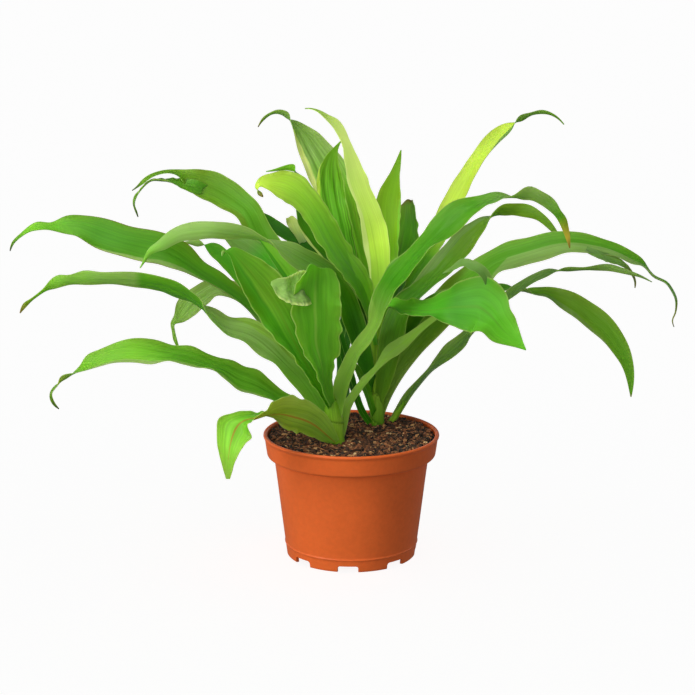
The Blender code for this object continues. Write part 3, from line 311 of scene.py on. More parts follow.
LOOKS = {
    "leaf_far_left_upper": look(
        ((0.0, "mid"), (0.7, "dark"), (0.9, "bright"), (1.0, "black")), ((0.9, "under"), (1.0, "black")),
        border=((0.0, 0.3), (0.5, 0.6), (0.85, 1.2)), rim="brown"),
    "leaf_far_left_middle": look(
        ((0.0, "bright"), (0.3, "under")),
        ((0.63, "mid_dark"), (0.65, "under"), (0.9, "bright"), (1.0, "brown")),
        "pale_olive", 1.1, side=-1, border=((0.0, -1.2), (0.3, -0.4), (0.46, -1.3))),
    "leaf_left_lower": look(
        ((0.5, "mid"), (0.6, "bright"), (0.9, "olive"), (1.0, "black")), ((0.8, "under"), (1.0, "ochre")),
        border=((0.0, 1.3), (0.3, 0.7), (0.6, 0.7), (0.8, 0.9))),
    "leaf_red_midrib": look(
        ((0.5, "mid"), (0.8, "bright"), (1.0, "pale_olive")), ((0.0, "pale_olive"), (0.45, "red_olive")),
        light=1.3, streak=0.16, streaks=11.0, rib="red", pleat=1.6),
    "leaf_left_curling": look(
        ((0.5, "under"), (1.0, "olive")), light=1.1, streak=0.3, streaks=12.0, pleat=1.4),
    "leaf_left_grey_back": look(
        ((0.1, "deep"), (0.3, "dark"), (0.46, "under")), ((0.8, "under"), (1.0, "bright")), light=1.2,
        streak=0.14, streaks=12.0),
    "leaf_left_forked": look(
        ((0.5, "mid"), (0.7, "olive"), (0.93, "olive"), (1.0, "black")), fold="olive",
        border=((0.0, 1.3), (0.5, 0.5), (0.75, 1.3))),
    "leaf_left_forked_prong": look(((0.0, "mid"), (0.8, "olive"), (1.0, "black"))),
    "leaf_top_left_pleated": look(
        ((0.4, "bright"), (0.55, "under"), (0.9, "pale_olive"), (1.0, "brown")),
        ((0.9, "under"), (1.0, "brown")), "pale_lime", border=((0.0, 0.9), (0.6, 0.62), (0.8, 1.2)),
        streak=0.3, pleat=1.6),
    "leaf_top_lime": look(
        ((0.0, "mid"), (0.25, "lime"), (0.7, "pale_lime"), (1.0, "olive")), "lime", "pale_lime",
        border=((0.0, 1.2), (0.25, 0.55), (0.8, 0.9)), streak=0.03, pleat=0.3, rim="pale_lime", shine=0.3),
    "leaf_top_striped": look(
        ((0.4, "mid"), (1.0, "olive")), fold="lime", light=1.2, streak=0.5, streaks=7.0, pleat=2.0,
        border=((0.0, 1.2), (0.4, 0.8), (0.7, 0.72), (0.88, 1.2))),
    "leaf_top_arching": look(
        ((0.3, "mid"), (0.5, "bright"), (0.95, "lime"), (1.0, "brown")),
        ((0.9, "under"), (1.0, "brown")), "bright", 1.1, side=-1,
        border=((0.0, -0.6), (0.25, -0.1), (0.5, -1.3))),
    "leaf_top_left_dark": look(
        "dark", ((0.6, "dark"), (0.8, "bright")), "pale_lime", border=((0.0, 1.3), (0.45, 0.6), (0.6, 1.3)),
        streak=0.25),
    "leaf_back_left_deep": look("deep", streak=0.3),
    "leaf_back_left_flap": look(((0.0, "under"), (1.0, "pale_lime")), streak=0.35),
    "leaf_back_upright": look(
        ((0.0, "mid"), (0.5, "yellow_green"), (1.0, "olive")), fold="bright", light=1.2, side=-1,
        border=((0.0, -1.2), (0.5, -0.7), (0.95, -1.2))),
    "leaf_back_dry_top": look(((0.5, "dark"), (0.8, "mid_dark"), (0.95, "olive"), (1.0, "brown")), streak=0.3,
                              streaks=5.0),
    "leaf_centre_left_bright": look("bright", fold="grass", border=((0.0, 0.4), (1.0, 0.4))),
    "leaf_right_lime": look(
        ((0.3, "mid_dark"), (0.45, "lime"), (0.85, "lime"), (1.0, "olive")),
        ((0.8, "mid_grey"), (1.0, "olive")), "mid_grey", side=-1,
        border=((0.6, -1.2), (0.74, -0.4), (0.82, -0.6)), streak=0.06, pleat=0.5),
    "leaf_right_long_dark": look(
        ((0.25, "pale_olive"), (0.35, "dark"), (0.6, "mid_dark"), (0.75, "under")),
        ((0.8, "under"), (0.9, "mid_dark"), (0.97, "ochre"), (1.0, "brown")), "pale_olive",
        border=((0.0, 0.3), (0.28, 0.5), (0.32, 1.3)), streak=0.08),
    "leaf_right_olive": look(
        ((0.0, "olive"), (0.3, "mid_dark"), (0.5, "olive")), "olive", "mid_grey", 0.9,
        border=((0.0, 1.3), (0.33, 0.9), (0.4, 0.4)), streak=0.16, streaks=12.0),
    "leaf_far_right": look(
        ((0.1, "mid_grey"), (0.3, "mid"), (0.9, "mid_dark"), (0.965, "ochre"), (1.0, "black")), fold="under",
        side=-1, border=((0.35, -1.0), (0.42, 0.1), (0.8, 0.0), (0.92, -1.2)), streaks=12.0),
    "leaf_far_right_prong": look(((0.5, "mid_grey"), (1.0, "brown"))),
    "leaf_front_right": look(((0.35, "vivid"), (0.6, "grass"), (0.85, "vivid")), light=0.9, streak=0.06,
                             streaks=4.0, grain=1.0, rib="mid", pleat=0.3),
    "leaf_front_right_fold": look("mid_grey", streak=0.25, streaks=5.0),
    "leaf_right_drooping": look(
        ((0.4, "dark"), (0.6, "olive"), (0.98, "mid"), (1.0, "brown")), "under", "mid_grey", 0.9, side=-1,
        border=((0.45, -1.0), (0.55, -0.3), (0.9, -1.1)), streak=0.09),
    "leaf_right_slender": look("mid_grey", light=0.8, streak=0.3, streaks=6.0),
    "leaf_front_thin_olive": look("pale_olive", light=1.3, rib="yellow_green"),
    "leaf_front_crumpled": look("mid", light=1.5, rib="pale_olive", streak=0.18, streaks=4.0, pleat=1.1,
                                crumple=0.9),
    "leaf_front_crumpled_margin": look("under", light=1.5, rim="pale_lime", edge=0.2, streak=0.3, streaks=2.0,
                                       grain=7.0, pleat=1.0, crumple=1.6),
    "leaf_front_broad": look(
        ((0.4, "mid"), (0.6, "olive"), (1.0, "dark")), fold="dark", light=1.2, rib="olive", streak=0.16,
        streaks=8.0, pleat=1.5, border=((0.0, 0.3), (1.0, 0.35))),
    "leaf_left_narrow": look("grass", light=1.1),
    "leaf_left_grey": look("mid_dark", ((0.66, "grass"), (0.77, "mid_grey")), light=1.2),
    "leaf_small_left": look("deep", rib="under"),
    "leaf_small_short": look("dark", light=0.9, rib="under"),
    "leaf_small_upright": look("deep", rib="under"),
}


# Tones as light and lens show them, red, green and blue from 0 to 255. deep is the green of leaves that lie
# deep inside the plant, darkened as painted shade
TONES = {
    "mid": (86, 156, 36), "dark": (62, 132, 22), "deep": (34, 88, 14), "mid_dark": (74, 142, 30),
    "grass": (66, 152, 34), "bright": (116, 192, 48), "vivid": (98, 196, 42), "lime": (190, 240, 74),
    "pale_lime": (212, 244, 130), "yellow_green": (122, 176, 30), "under": (126, 168, 84),
    "mid_grey": (98, 140, 66), "pale_olive": (122, 170, 62), "olive": (94, 142, 34), "ochre": (176, 152, 52),
    "brown": (104, 74, 30), "red": (150, 84, 36), "red_olive": (126, 140, 44), "black": (34, 28, 20),
    "rim": (150, 190, 84)}

# Wall of the pot, radius and height in mm from the foot's outer edge up, over the lip and down inside
POT_WALL = (
    (56.0, 0.0), (56.3, 0.3), (56.9, 5.0), (57.5, 9.9), (57.75, 10.3), (58.1, 10.6), (58.2, 11.0),
    (58.15, 11.4), (57.85, 11.8), (57.8, 12.2), (60.0, 30.0), (62.4, 50.0), (64.3, 66.0), (66.1, 80.3),
    (66.9, 86.8), (67.05, 87.8), (67.6, 88.5), (69.6, 88.85), (71.4, 89.1), (72.2, 89.35), (72.8, 89.85),
    (73.1, 90.6), (73.9, 96.0), (75.0, 104.3), (75.6, 105.0), (76.05, 105.7), (76.2, 106.4),
    (76.05, 107.2), (75.6, 107.75), (75.0, 107.9), (74.3, 107.85), (73.4, 107.6), (72.8, 107.1),
    (72.6, 106.3), (72.4, 104.0), (71.8, 98.5), (71.2, 93.3), (70.4, 91.6), (69.2, 91.0), (67.0, 90.0),
    (65.6, 89.3), (65.2, 86.6))
POT_INSIDE = ((60.4, 50.0), (56.4, 15.0), (55.6, 9.0), (30.0, 9.0), (0.0, 9.0))
POT_SKIRT_INSIDE = ((53.6, 0.0), (53.9, 3.0), (54.3, 7.0), (30.0, 7.0), (0.0, 7.0))
NOTCH_COUNT = 8
NOTCH_FIRST_DEG = -93.0
NOTCH_WIDTH = 18.0
NOTCH_HEIGHT = 5.3
NOTCH_CORNER = 2.4
FOOT_RADIUS = 56.3

# Points round the pot near a notch, in mm from its middle, closest at its corners
NOTCH_STEPS = (9.05, 8.99, 8.93, 8.75, 8.4, 7.9, 7.3, 6.6, 4.4, 2.2)

# The skirt's outer and inner face: how high they reach, how they lean and the radius between them
SKIRT_OUTER_TOP = 9.9
SKIRT_INNER_TOP = 7.0
SKIRT_OUTER_LEAN = 0.125
SKIRT_INNER_LEAN = 0.1
SKIRT_MIDDLE_RADIUS = 55.2
SKIRT_POINTS = 20               # points of the outline that may belong to the skirt's outer face

StemRing = namedtuple("StemRing", "x y z radius")
FRONT_STEM = (
    StemRing(-11.4, -23.0, 90.0, 6.8), StemRing(-11.4, -23.0, 97.0, 6.8),
    StemRing(-13.1, -24.0, 109.5, 7.5), StemRing(-14.8, -25.0, 121.5, 8.5),
    StemRing(-16.5, -26.0, 135.0, 8.5), StemRing(-17.3, -27.0, 145.5, 6.0),
    StemRing(-18.1, -28.0, 152.0, 2.5))
REAR_STEM = (
    StemRing(22.8, 31.0, 90.0, 6.5), StemRing(22.8, 31.0, 97.5, 6.5), StemRing(22.7, 31.0, 119.5, 6.5),
    StemRing(22.7, 32.0, 137.5, 6.2), StemRing(22.6, 33.0, 155.5, 6.2), StemRing(22.6, 34.0, 173.0, 7.0),
    StemRing(23.4, 35.0, 191.0, 7.5), StemRing(23.8, 35.0, 203.5, 5.5), StemRing(24.2, 35.0, 212.5, 2.5))
SLENDER_STALK = (
    StemRing(25.0, 42.0, 91.0, 3.2), StemRing(29.0, 41.5, 97.0, 3.2), StemRing(37.2, 40.2, 109.0, 3.0),
    StemRing(42.8, 38.9, 118.0, 2.4), StemRing(47.0, 37.9, 124.5, 1.2))

# Least radius of a stalk, and how far its rounded end goes past the last ring
STALK_LEAST_RADIUS = 0.6

# Potting mix: radius and height of its block from the middle of the base up to the top's edge
SOIL_WALL = ((30.0, 9.5), (55.0, 9.5), (59.6, 49.0), (64.4, 86.0), (70.2, 93.2), (71.3, 98.0))
SOIL_LEVEL = 104.8
SOIL_RADIUS = 71.8
SOIL_CORE_RADIUS = 1.2          # innermost ring of the top
SOIL_TOP_RINGS = 48
SOIL_SIDES = 128

# Bits of bark: long splinters and short chips, least and greatest measures in mm
SPLINTER_SHARE = 0.25
SPLINTER_LENGTH = (3.5, 9.0)
SPLINTER_BREADTH = (0.6, 1.3)
CHIP_LENGTH = (1.2, 4.6)
BIT_THICKNESS = (0.5, 1.8)
BIT_RISE = (-0.4, 1.6)          # of a bit's middle over the mix
BIT_TIP = 0.3                   # usual tip, in radians
CORNER_SHIFT = 0.45             # as a share of half the bit

# Finish of leaves. Places across a blade run from its midrib (0) to its margin (1), along it from foot (0)
# to tip (1)
LIGHTEST = 0.95                 # no stop of a ramp goes past it
LEAF_FINISH = {"IOR": 1.42, "Specular IOR Level": 0.14, "Subsurface Scale": 0.006,
               "Subsurface Radius": (0.7, 1.0, 0.3)}
FOLD_WANDER = 0.05              # how far the fold line strays, a blade's half being a quarter here
FOLD_WANDER_SCALE = 9.0
FOLD_BLEND = (-0.012, 0.016)    # from one side's tone to the other's, on the same scale
STREAK_RANGE = 0.18             # swing of the noise that gives the full contrast
VEIN_RANGE = 0.15
VEINS_ACROSS = 15.0
VEINS_ALONG = 3.0
VEIN_SEED = 5.0
PATCH_SCALE = 26.0
PATCH_SHARE = 0.07              # how much lighter or darker a patch is
RIB_REACH = (0.02, 0.075)       # the midrib's tone is full at the first and gone at the second
RIB_SHARE = 0.75
RIB_FADE = (0.75, 0.95)         # along the blade
RIM_FULL = 0.985                # the margin's tone is full from here on out
RIM_SHARE = 0.6

# Finish of shoots, mix, pot and floor, tones from 0 to 255
SHOOT_FOOT_TONE = (120, 110, 60)
SHOOT_MIDDLE_TONE = (134, 178, 44)
SHEATH_EDGE_TONE = (170, 200, 90)
SHOOT_STREAKS = 30.0
SHOOT_FINISH = {"Specular IOR Level": 0.14, "Subsurface Weight": 0.12, "Subsurface Scale": 0.003,
                "Subsurface Radius": (0.7, 1.0, 0.3)}
MIX_SHADES = ((0.0, (20, 14, 9)), (0.25, (44, 29, 18)), (0.75, (146, 90, 52)), (0.92, (186, 140, 88)),
              (1.0, (232, 204, 150)))
MIX_MAIN_PLACE = 2              # where the main brown goes in between
DARK_PEAT_AND_GAP_SHADE = 0.05               # of the block between the bits: dark peat, made darkest of all as painted shade in the gaps
POT_CLOUDS = (0.93, 1.06)
POT_FINISH = {"IOR": 1.5, "Specular IOR Level": 0.22, "Subsurface Weight": 0.06, "Subsurface Scale": 0.002}
FLOOR_FINISH = {"Base Color": (0.35, 0.35, 0.35, 1.0), "Roughness": 0.9, "Specular IOR Level": 0.0,
                "Emission Color": (1.0, 1.0, 1.0, 1.0), "Emission Strength": 0.9}

# Stage: sizes and places in metres, power by the name of its setting
Softbox = namedtuple("Softbox", "name power width height place on_pot")
SOFTBOXES = (
    Softbox("side_softbox", "side_power", 0.9, 1.3, (-1.38, -1.16, 0.75), True),
    Softbox("top_softbox", "top_power", 0.9, 0.9, (-0.54, -0.65, 1.75), True),
    Softbox("front_softbox", "front_power", 1.4, 1.2, (-0.52, -1.93, 1.1), False))
LIGHT_COLOUR = (1.0, 0.985, 0.95)
AIM_HEIGHT = 0.18               # every softbox faces this height on the pot's axis
CLIP_RANGE = (0.05, 200.0)

# Bands of the sky from straight down (0) over the horizon (0.5) to straight up (1), by their settings
SKY_BANDS = ((0.0, "sky_below"), (0.44, "sky_below"), (0.475, "sky_low"), (0.575, "sky_low"),
             (0.62, "sky_high"), (1.0, "sky_high"))


# Small tools

def linear(tone):
    """A tone of 0 to 255 as linear light."""
    share = np.array(tone, dtype=float) / 255.0
    return tuple(np.where(share <= 0.04045, share / 12.92, ((share + 0.055) / 1.055) ** 2.4))


def grid_faces(rows, columns, first=0, closed=False):
    """Quads of a grid of points numbered row by row, closed joining the last column to the first."""
    row = np.arange(rows - 1)[:, None]
    column = np.arange(columns if closed else columns - 1)[None, :]
    after = (column + 1) % columns
    corners = [row * columns + column, row * columns + after, (row + 1) * columns + after,
               (row + 1) * columns + column]
    return np.stack([corner.ravel() for corner in np.broadcast_arrays(*corners)], 1) + first


def new_piece(name, points, faces, material, marks=None, sharp_deg=50.0):
    """A smooth mesh from points in mm and quads, with a number on each point for each mark."""
    mesh = bpy.data.meshes.new(name)
    mesh.from_pydata(points * MM, [], faces)
    mesh.shade_smooth()
    mesh.set_sharp_from_angle(angle=math.radians(sharp_deg))
    for mark, values in (marks or {}).items():
        layer = mesh.attributes.new(mark, "FLOAT", "POINT")
        layer.data.foreach_set("value", np.ascontiguousarray(values, dtype=np.float32))
    mesh.materials.append(material)
    piece = bpy.data.objects.new(name, mesh)
    bpy.context.scene.collection.objects.link(piece)
    return piece


def natural_spline(knots, values, wanted):
    """Natural cubic through the values at the knots: its values and slopes at the wanted places."""
    gaps = np.diff(knots)
    count = len(knots)
    system = np.eye(count)
    inner = np.arange(1, count - 1)
    system[inner, inner - 1] = gaps[:-1]
    system[inner, inner] = 2.0 * (gaps[:-1] + gaps[1:])
    system[inner, inner + 1] = gaps[1:]
    slopes = np.diff(values, axis=0) / gaps[:, None]
    right = np.zeros_like(values)
    right[1:-1] = 6.0 * np.diff(slopes, axis=0)
    bend = np.linalg.solve(system, right)
    cell = np.clip(np.searchsorted(knots, wanted, side="right") - 1, 0, count - 2)
    gap = gaps[cell][:, None]
    after = wanted[:, None] - knots[cell][:, None]
    before = gap - after
    start = values[cell] / gap - bend[cell] * gap / 6.0
    end = values[cell + 1] / gap - bend[cell + 1] * gap / 6.0
    value = (bend[cell] * before ** 3 + bend[cell + 1] * after ** 3) / (6.0 * gap)
    value = value + start * before + end * after
    slope = (bend[cell + 1] * after ** 2 - bend[cell] * before ** 2) / (2.0 * gap) - start + end
    return value, slope


# Leaves

# Fine relief of a blade, beyond the form that it has in the solids
PLEATED_WIDTH = 24.0            # real width in mm from which pleats and veins show in full
RELIEF_POWER = 0.6              # how soon the relief starts past the foot and ends before the tip
GROOVE_WIDTH = 0.07             # as a share of half the blade's width
PLEATS_LEAST = 2.0              # least number of pleats across a blade
PLEAT_KINDS = 3
PLEAT_DRIFT = 0.5
PLEAT_DRIFT_WAVES = 1.3
BEATS_LEAST = 7.0               # least number of crinkles along a margin
BEAT_KINDS = 4
BEAT_LAG = 2.1                  # shift of a margin's crinkles in radians, reversed on the other margin
SECOND_BEAT = 1.7
SECOND_BEAT_LAG = 4.0
SECOND_BEAT_SHARE = 0.6
NARROW_CRINKLE = 0.3            # share of the crinkle that a narrow blade keeps
CRUMPLE_WAVES = 2.5
CRUMPLE_SLANT = 1.5
MARGIN_SWAY = 0.02              # how far a margin swings in and out, as a share of half the width
MARGIN_BEAT = 1.3
MARGIN_BEAT_LAG = 3.0
END_NOTCH = 0.3                 # waves of a blunt blade's end
END_NOTCH_WAVES = 5.0


def place_in_space(station):
    """The point in mm that a station's column, row and depth stand for."""
    ray = VIEW_AHEAD + VIEW_RIGHT * (station.column - VIEW_MIDDLE) / VIEW_SCALE
    ray = ray + VIEW_UP * (VIEW_MIDDLE - station.row) / VIEW_SCALE
    return VIEW_POINT + ray * ((station.depth - VIEW_POINT[1]) / ray[1])


def leaf_widths(plan, along, seen):
    """Real width at each station: narrow foot, full middle, long taper, never less than what is seen."""
    if plan.blunt:
        rise = FOOT_SHARE + (1.0 - FOOT_SHARE) * np.clip(along / BLUNT_RISE, 0.0, 1.0)
        return np.maximum(plan.width * rise, np.abs(seen) * SEEN_MARGIN)
    rise = plan.foot + (1.0 - plan.foot) * np.clip(along / plan.rise, 0.0, 1.0) ** RISE_POWER
    taper = np.clip((1.0 - along) / (1.0 - TAPER_START), 0.0, 1.0) ** TAPER_POWER
    width = np.maximum(plan.width * rise * taper, np.abs(seen) * SEEN_MARGIN)
    width[-1] = min(width[-1], TIP_WIDTH)
    return width


def leaf_frame(plan, rows):
    """Midrib points, side vectors, normals and shares of the length, on a natural cubic through stations."""
    stations = np.array(plan.stations, dtype=float)
    spine = np.array([place_in_space(station) for station in plan.stations])
    seen_run = np.gradient(stations[:, :2], axis=0) * np.array([1.0, -1.0])
    seen_run /= np.linalg.norm(seen_run, axis=1, keepdims=True)
    seen_side = np.stack([-seen_run[:, 1], seen_run[:, 0]], 1)
    seen = stations[:, 3] * ((spine - VIEW_POINT) @ VIEW_AHEAD) / VIEW_SCALE
    steps = np.linalg.norm(np.diff(spine, axis=0), axis=1)
    along = np.concatenate([[0.0], np.cumsum(steps)])
    along /= along[-1]
    width = leaf_widths(plan, along, seen)
    lean = np.sqrt(np.maximum(width ** 2 - seen ** 2, 0.0))
    hand = 1.0 if stations[-1, 0] > stations[0, 0] else -1.0
    side = seen[:, None] * (seen_side[:, :1] * VIEW_RIGHT + seen_side[:, 1:] * VIEW_UP)
    side = side + (hand * lean)[:, None] * VIEW_AHEAD
    knots = np.concatenate([[0.0], np.cumsum(np.sqrt(steps))])
    wanted = np.linspace(0.0, knots[-1], rows)
    value, slope = natural_spline(knots, np.hstack([spine, side]), wanted)
    normal = np.cross(slope[:, :3], value[:, 3:])
    normal /= np.linalg.norm(normal, axis=1, keepdims=True)
    return value[:, :3], value[:, 3:], normal, wanted / knots[-1]


def leaf_surface(plan, look_plan, settings, seed):
    """Middle surface of a blade.

    A point is midrib(s) + q * side(s) / 2 + lift * normal(s). The lift is a trough in q squared with a
    sunk midrib, three long waves of the margin, a row of pleats cos(pi k q), a narrow groove at the
    midrib, a short crinkle that grows with q to the sixth power, and for crumpled leaves waves that run
    across the blade. s runs from foot to tip and q from margin to margin. A blunt blade's end is rounded
    and wavy.
    """
    rows, columns = settings.leaf_rows, settings.leaf_columns
    spine, side, normal, s = leaf_frame(plan, rows)
    full = np.linalg.norm(side, axis=1)[:, None]
    q = np.linspace(-1.0, 1.0, columns)[None, :]
    s = s[:, None]
    hand = np.sign(q)
    plain = settings.plain_width / MM
    calm = np.clip((full - plain) / (PLEATED_WIDTH - plain), 0.0, 1.0)
    ends = np.sin(math.pi * np.clip(s, 0.0, 1.0)) ** RELIEF_POWER
    wave = np.sin(2.0 * math.pi * RIPPLE_WAVES * s + RIPPLE_LAG * hand)
    lift = TROUGH * (q ** 2 - TROUGH_REST) + RIPPLE * np.sin(math.pi * s) * wave * q ** 2
    folds = PLEATS_LEAST + seed % PLEAT_KINDS
    drift = PLEAT_DRIFT * np.sin(2.0 * math.pi * s * PLEAT_DRIFT_WAVES + seed)
    pleat_height = settings.pleat_share * look_plan.pleat * ends * calm
    lift = lift + pleat_height * np.cos(math.pi * (folds * q + drift)) * (1.0 - q ** 4)
    lift = lift - settings.groove_share * np.exp(-(q / GROOVE_WIDTH) ** 2) * (1.0 - s)
    beats = 2.0 * math.pi * s * (BEATS_LEAST + seed % BEAT_KINDS)
    second_beat = np.sin(SECOND_BEAT * beats + SECOND_BEAT_LAG * hand + 2.0 * seed)
    crinkle = np.sin(beats + BEAT_LAG * hand + seed) + SECOND_BEAT_SHARE * second_beat
    crinkle_height = settings.crinkle_share * look_plan.crinkle * ends
    lift = lift + crinkle_height * (NARROW_CRINKLE + (1.0 - NARROW_CRINKLE) * calm) * q ** 6 * crinkle
    crumple = np.sin(2.0 * math.pi * CRUMPLE_WAVES * s + CRUMPLE_SLANT * q + seed)
    lift = lift + settings.crumple_share * look_plan.crumple * ends * crumple
    margin_beat = np.sin(MARGIN_BEAT * beats + seed + MARGIN_BEAT_LAG * hand)
    q_wide = q * (1.0 + MARGIN_SWAY * ends * margin_beat)
    surface = spine[:, None] + q_wide[..., None] * side[:, None] / 2.0
    surface = surface + (lift * full)[..., None] * normal[:, None]
    if plan.blunt:
        ahead = np.gradient(spine, axis=0)
        ahead /= np.linalg.norm(ahead, axis=1, keepdims=True)
        notched = q ** 4 + END_NOTCH * np.sin(END_NOTCH_WAVES * q + seed)
        back = settings.end_share * s ** 8 * notched * full
        surface = surface - back[..., None] * ahead[:, None]
    return (surface, *(np.broadcast_to(mark, (rows, columns)) for mark in (s, q, calm)))


def blade_mesh(plan, look_plan, settings, seed):
    """A blade's closed skin: the middle surface moved out both ways by half a thickness, thin at the rim."""
    surface, s, q, calm = leaf_surface(plan, look_plan, settings, seed)
    rows, columns = s.shape
    facing = np.cross(np.gradient(surface, axis=0), np.gradient(surface, axis=1))
    facing /= np.maximum(np.linalg.norm(facing, axis=2, keepdims=True), 1e-9)
    extra = (settings.leaf_thickness - settings.rim_thickness) * (1.0 - q ** 2)
    half = (settings.rim_thickness + extra) / MM / 2.0
    upper = (surface + facing * half[..., None]).reshape(-1, 3)
    lower = (surface - facing * half[..., None]).reshape(-1, 3)
    count = rows * columns
    sheet = grid_faces(rows, columns)
    last = (rows - 1) * columns
    foot_to_tip = np.arange(rows) * columns
    across_tip = last + np.arange(1, columns)
    tip_to_foot = np.arange(rows - 2, -1, -1) * columns + columns - 1
    rim = np.concatenate([foot_to_tip, across_tip, tip_to_foot, np.arange(columns - 2, 0, -1)])
    after = np.roll(rim, -1)
    band = np.stack([rim, after, after + count, rim + count], 1)
    faces = np.concatenate([sheet[:, ::-1], sheet + count, band])
    points = np.concatenate([upper, lower])
    marks = {"along": np.tile(s.ravel(), 2), "across": np.tile(q.ravel(), 2),
             "under": np.repeat([0.0, 1.0], count), "breadth": np.tile(calm.ravel(), 2)}
    return points, outward(points, faces), marks


def outward(points, faces):
    """The faces, reversed if the closed skin they make is inside out, by its signed volume."""
    a, b, c, d = (points[faces[:, k]] for k in range(4))
    volume = np.einsum("ij,ij->", a, np.cross(b, c)) + np.einsum("ij,ij->", a, np.cross(c, d))
    return faces if volume > 0.0 else faces[:, ::-1]


# Materials

class Nodes:
    """A short hand for wiring a material's nodes."""

    def __init__(self, name):
        self.material = bpy.data.materials.new(name)
        self.material.use_nodes = True
        self.tree = self.material.node_tree
        self.shader = self.tree.nodes["Principled BSDF"]

    def add(self, kind, **values):
        """A node of a kind with its own settings."""
        node = self.tree.nodes.new(kind)
        for key, value in values.items():
            setattr(node, key, value)
        return node

    def put(self, socket, source):
        """A link or a constant into a socket."""
        if isinstance(source, bpy.types.NodeSocket):
            self.tree.links.new(source, socket)
        else:
            socket.default_value = source

    def mark(self, name):
        """A number that the mesh carries on its points."""
        return self.add("ShaderNodeAttribute", attribute_type="GEOMETRY", attribute_name=name).outputs["Fac"]

    def finish(self, values):
        """Plain values of the shader, by the names of its sockets."""
        for name, value in values.items():
            self.shader.inputs[name].default_value = value

    def arithmetic(self, operation, *sources):
        """One step of arithmetic."""
        node = self.add("ShaderNodeMath", operation=operation)
        for socket, source in zip(node.inputs, sources):
            self.put(socket, source)
        return node.outputs[0]

    def times(self, first, second):
        """One number times another."""
        return self.arithmetic("MULTIPLY", first, second)

    def plus(self, first, second):
        """One number and another."""
        return self.arithmetic("ADD", first, second)

    def less(self, first, second):
        """One number less another."""
        return self.arithmetic("SUBTRACT", first, second)

    def remap(self, source, low, high, to_low=0.0, to_high=1.0, smooth=False):
        """A number carried from one range to another and held inside it."""
        node = self.add("ShaderNodeMapRange", interpolation_type="SMOOTHSTEP" if smooth else "LINEAR")
        for key, value in (("Value", source), ("From Min", low), ("From Max", high), ("To Min", to_low),
                           ("To Max", to_high)):
            self.put(node.inputs[key], value)
        return node.outputs["Result"]

    def ramp(self, source, stops):
        """Colour stops along a number."""
        node = self.add("ShaderNodeValToRGB")
        fill_ramp(node.color_ramp, stops)
        self.put(node.inputs["Fac"], source)
        return node.outputs["Color"]

    def mix(self, share, first, second):
        """Two colours mixed by a share."""
        node = self.add("ShaderNodeMix", data_type="RGBA")
        self.put(node.inputs[0], share)
        for place, colour in ((6, first), (7, second)):
            linked = isinstance(colour, bpy.types.NodeSocket)
            self.put(node.inputs[place], colour if linked else (*colour, 1.0))
        return node.outputs[2]

    def join(self, x, y, z):
        """Three numbers as one place."""
        node = self.add("ShaderNodeCombineXYZ")
        for socket, source in zip(node.inputs, (x, y, z)):
            self.put(socket, source)
        return node.outputs[0]

    def noise(self, place, scale, detail=2.0, roughness=0.5, distortion=0.0):
        """Cloudy noise read at a place."""
        node = self.add("ShaderNodeTexNoise")
        self.put(node.inputs["Vector"], place)
        for key, value in (("Scale", scale), ("Detail", detail), ("Roughness", roughness),
                           ("Distortion", distortion)):
            node.inputs[key].default_value = value
        return node.outputs["Fac"]

    def object_place(self):
        """The point's place on the object, in metres."""
        return self.add("ShaderNodeTexCoord").outputs["Object"]

    def bump(self, height, distance):
        """Fine relief into the shader's normal."""
        node = self.add("ShaderNodeBump")
        node.inputs["Strength"].default_value = 1.0
        node.inputs["Distance"].default_value = distance
        self.put(node.inputs["Height"], height)
        self.put(self.shader.inputs["Normal"], node.outputs["Normal"])

    def scale_colour(self, colour, factor):
        """A colour made lighter or darker by a number."""
        node = self.add("ShaderNodeVectorMath", operation="SCALE")
        self.put(node.inputs[0], colour)
        self.put(node.inputs["Scale"], factor)
        return node.outputs[0]

    def varied(self, colour, source, reach, share):
        """A colour made lighter and darker by a share, as a number swings by its reach about nought."""
        return self.scale_colour(colour, self.remap(source, -reach, reach, 1.0 - share, 1.0 + share))


def fill_ramp(ramp, stops):
    """Colour stops into an empty ramp, which has two of its own."""
    for place, (where, colour) in enumerate(stops):
        stop = ramp.elements[place] if place < 2 else ramp.elements.new(where)
        stop.position = where
        stop.color = (*colour, 1.0)


def tone_colour(tone, light):
    """A named tone as linear light, made lighter or darker."""
    return tuple(np.array(linear(TONES[tone])) * light)


def tone_stops(stops, light):
    """One tone, or a few along a leaf, as colours for a ramp."""
    spread = ((0.0, stops), (1.0, stops)) if isinstance(stops, str) else stops
    return [(where, tuple(np.minimum(tone_colour(tone, light), LIGHTEST))) for where, tone in spread]


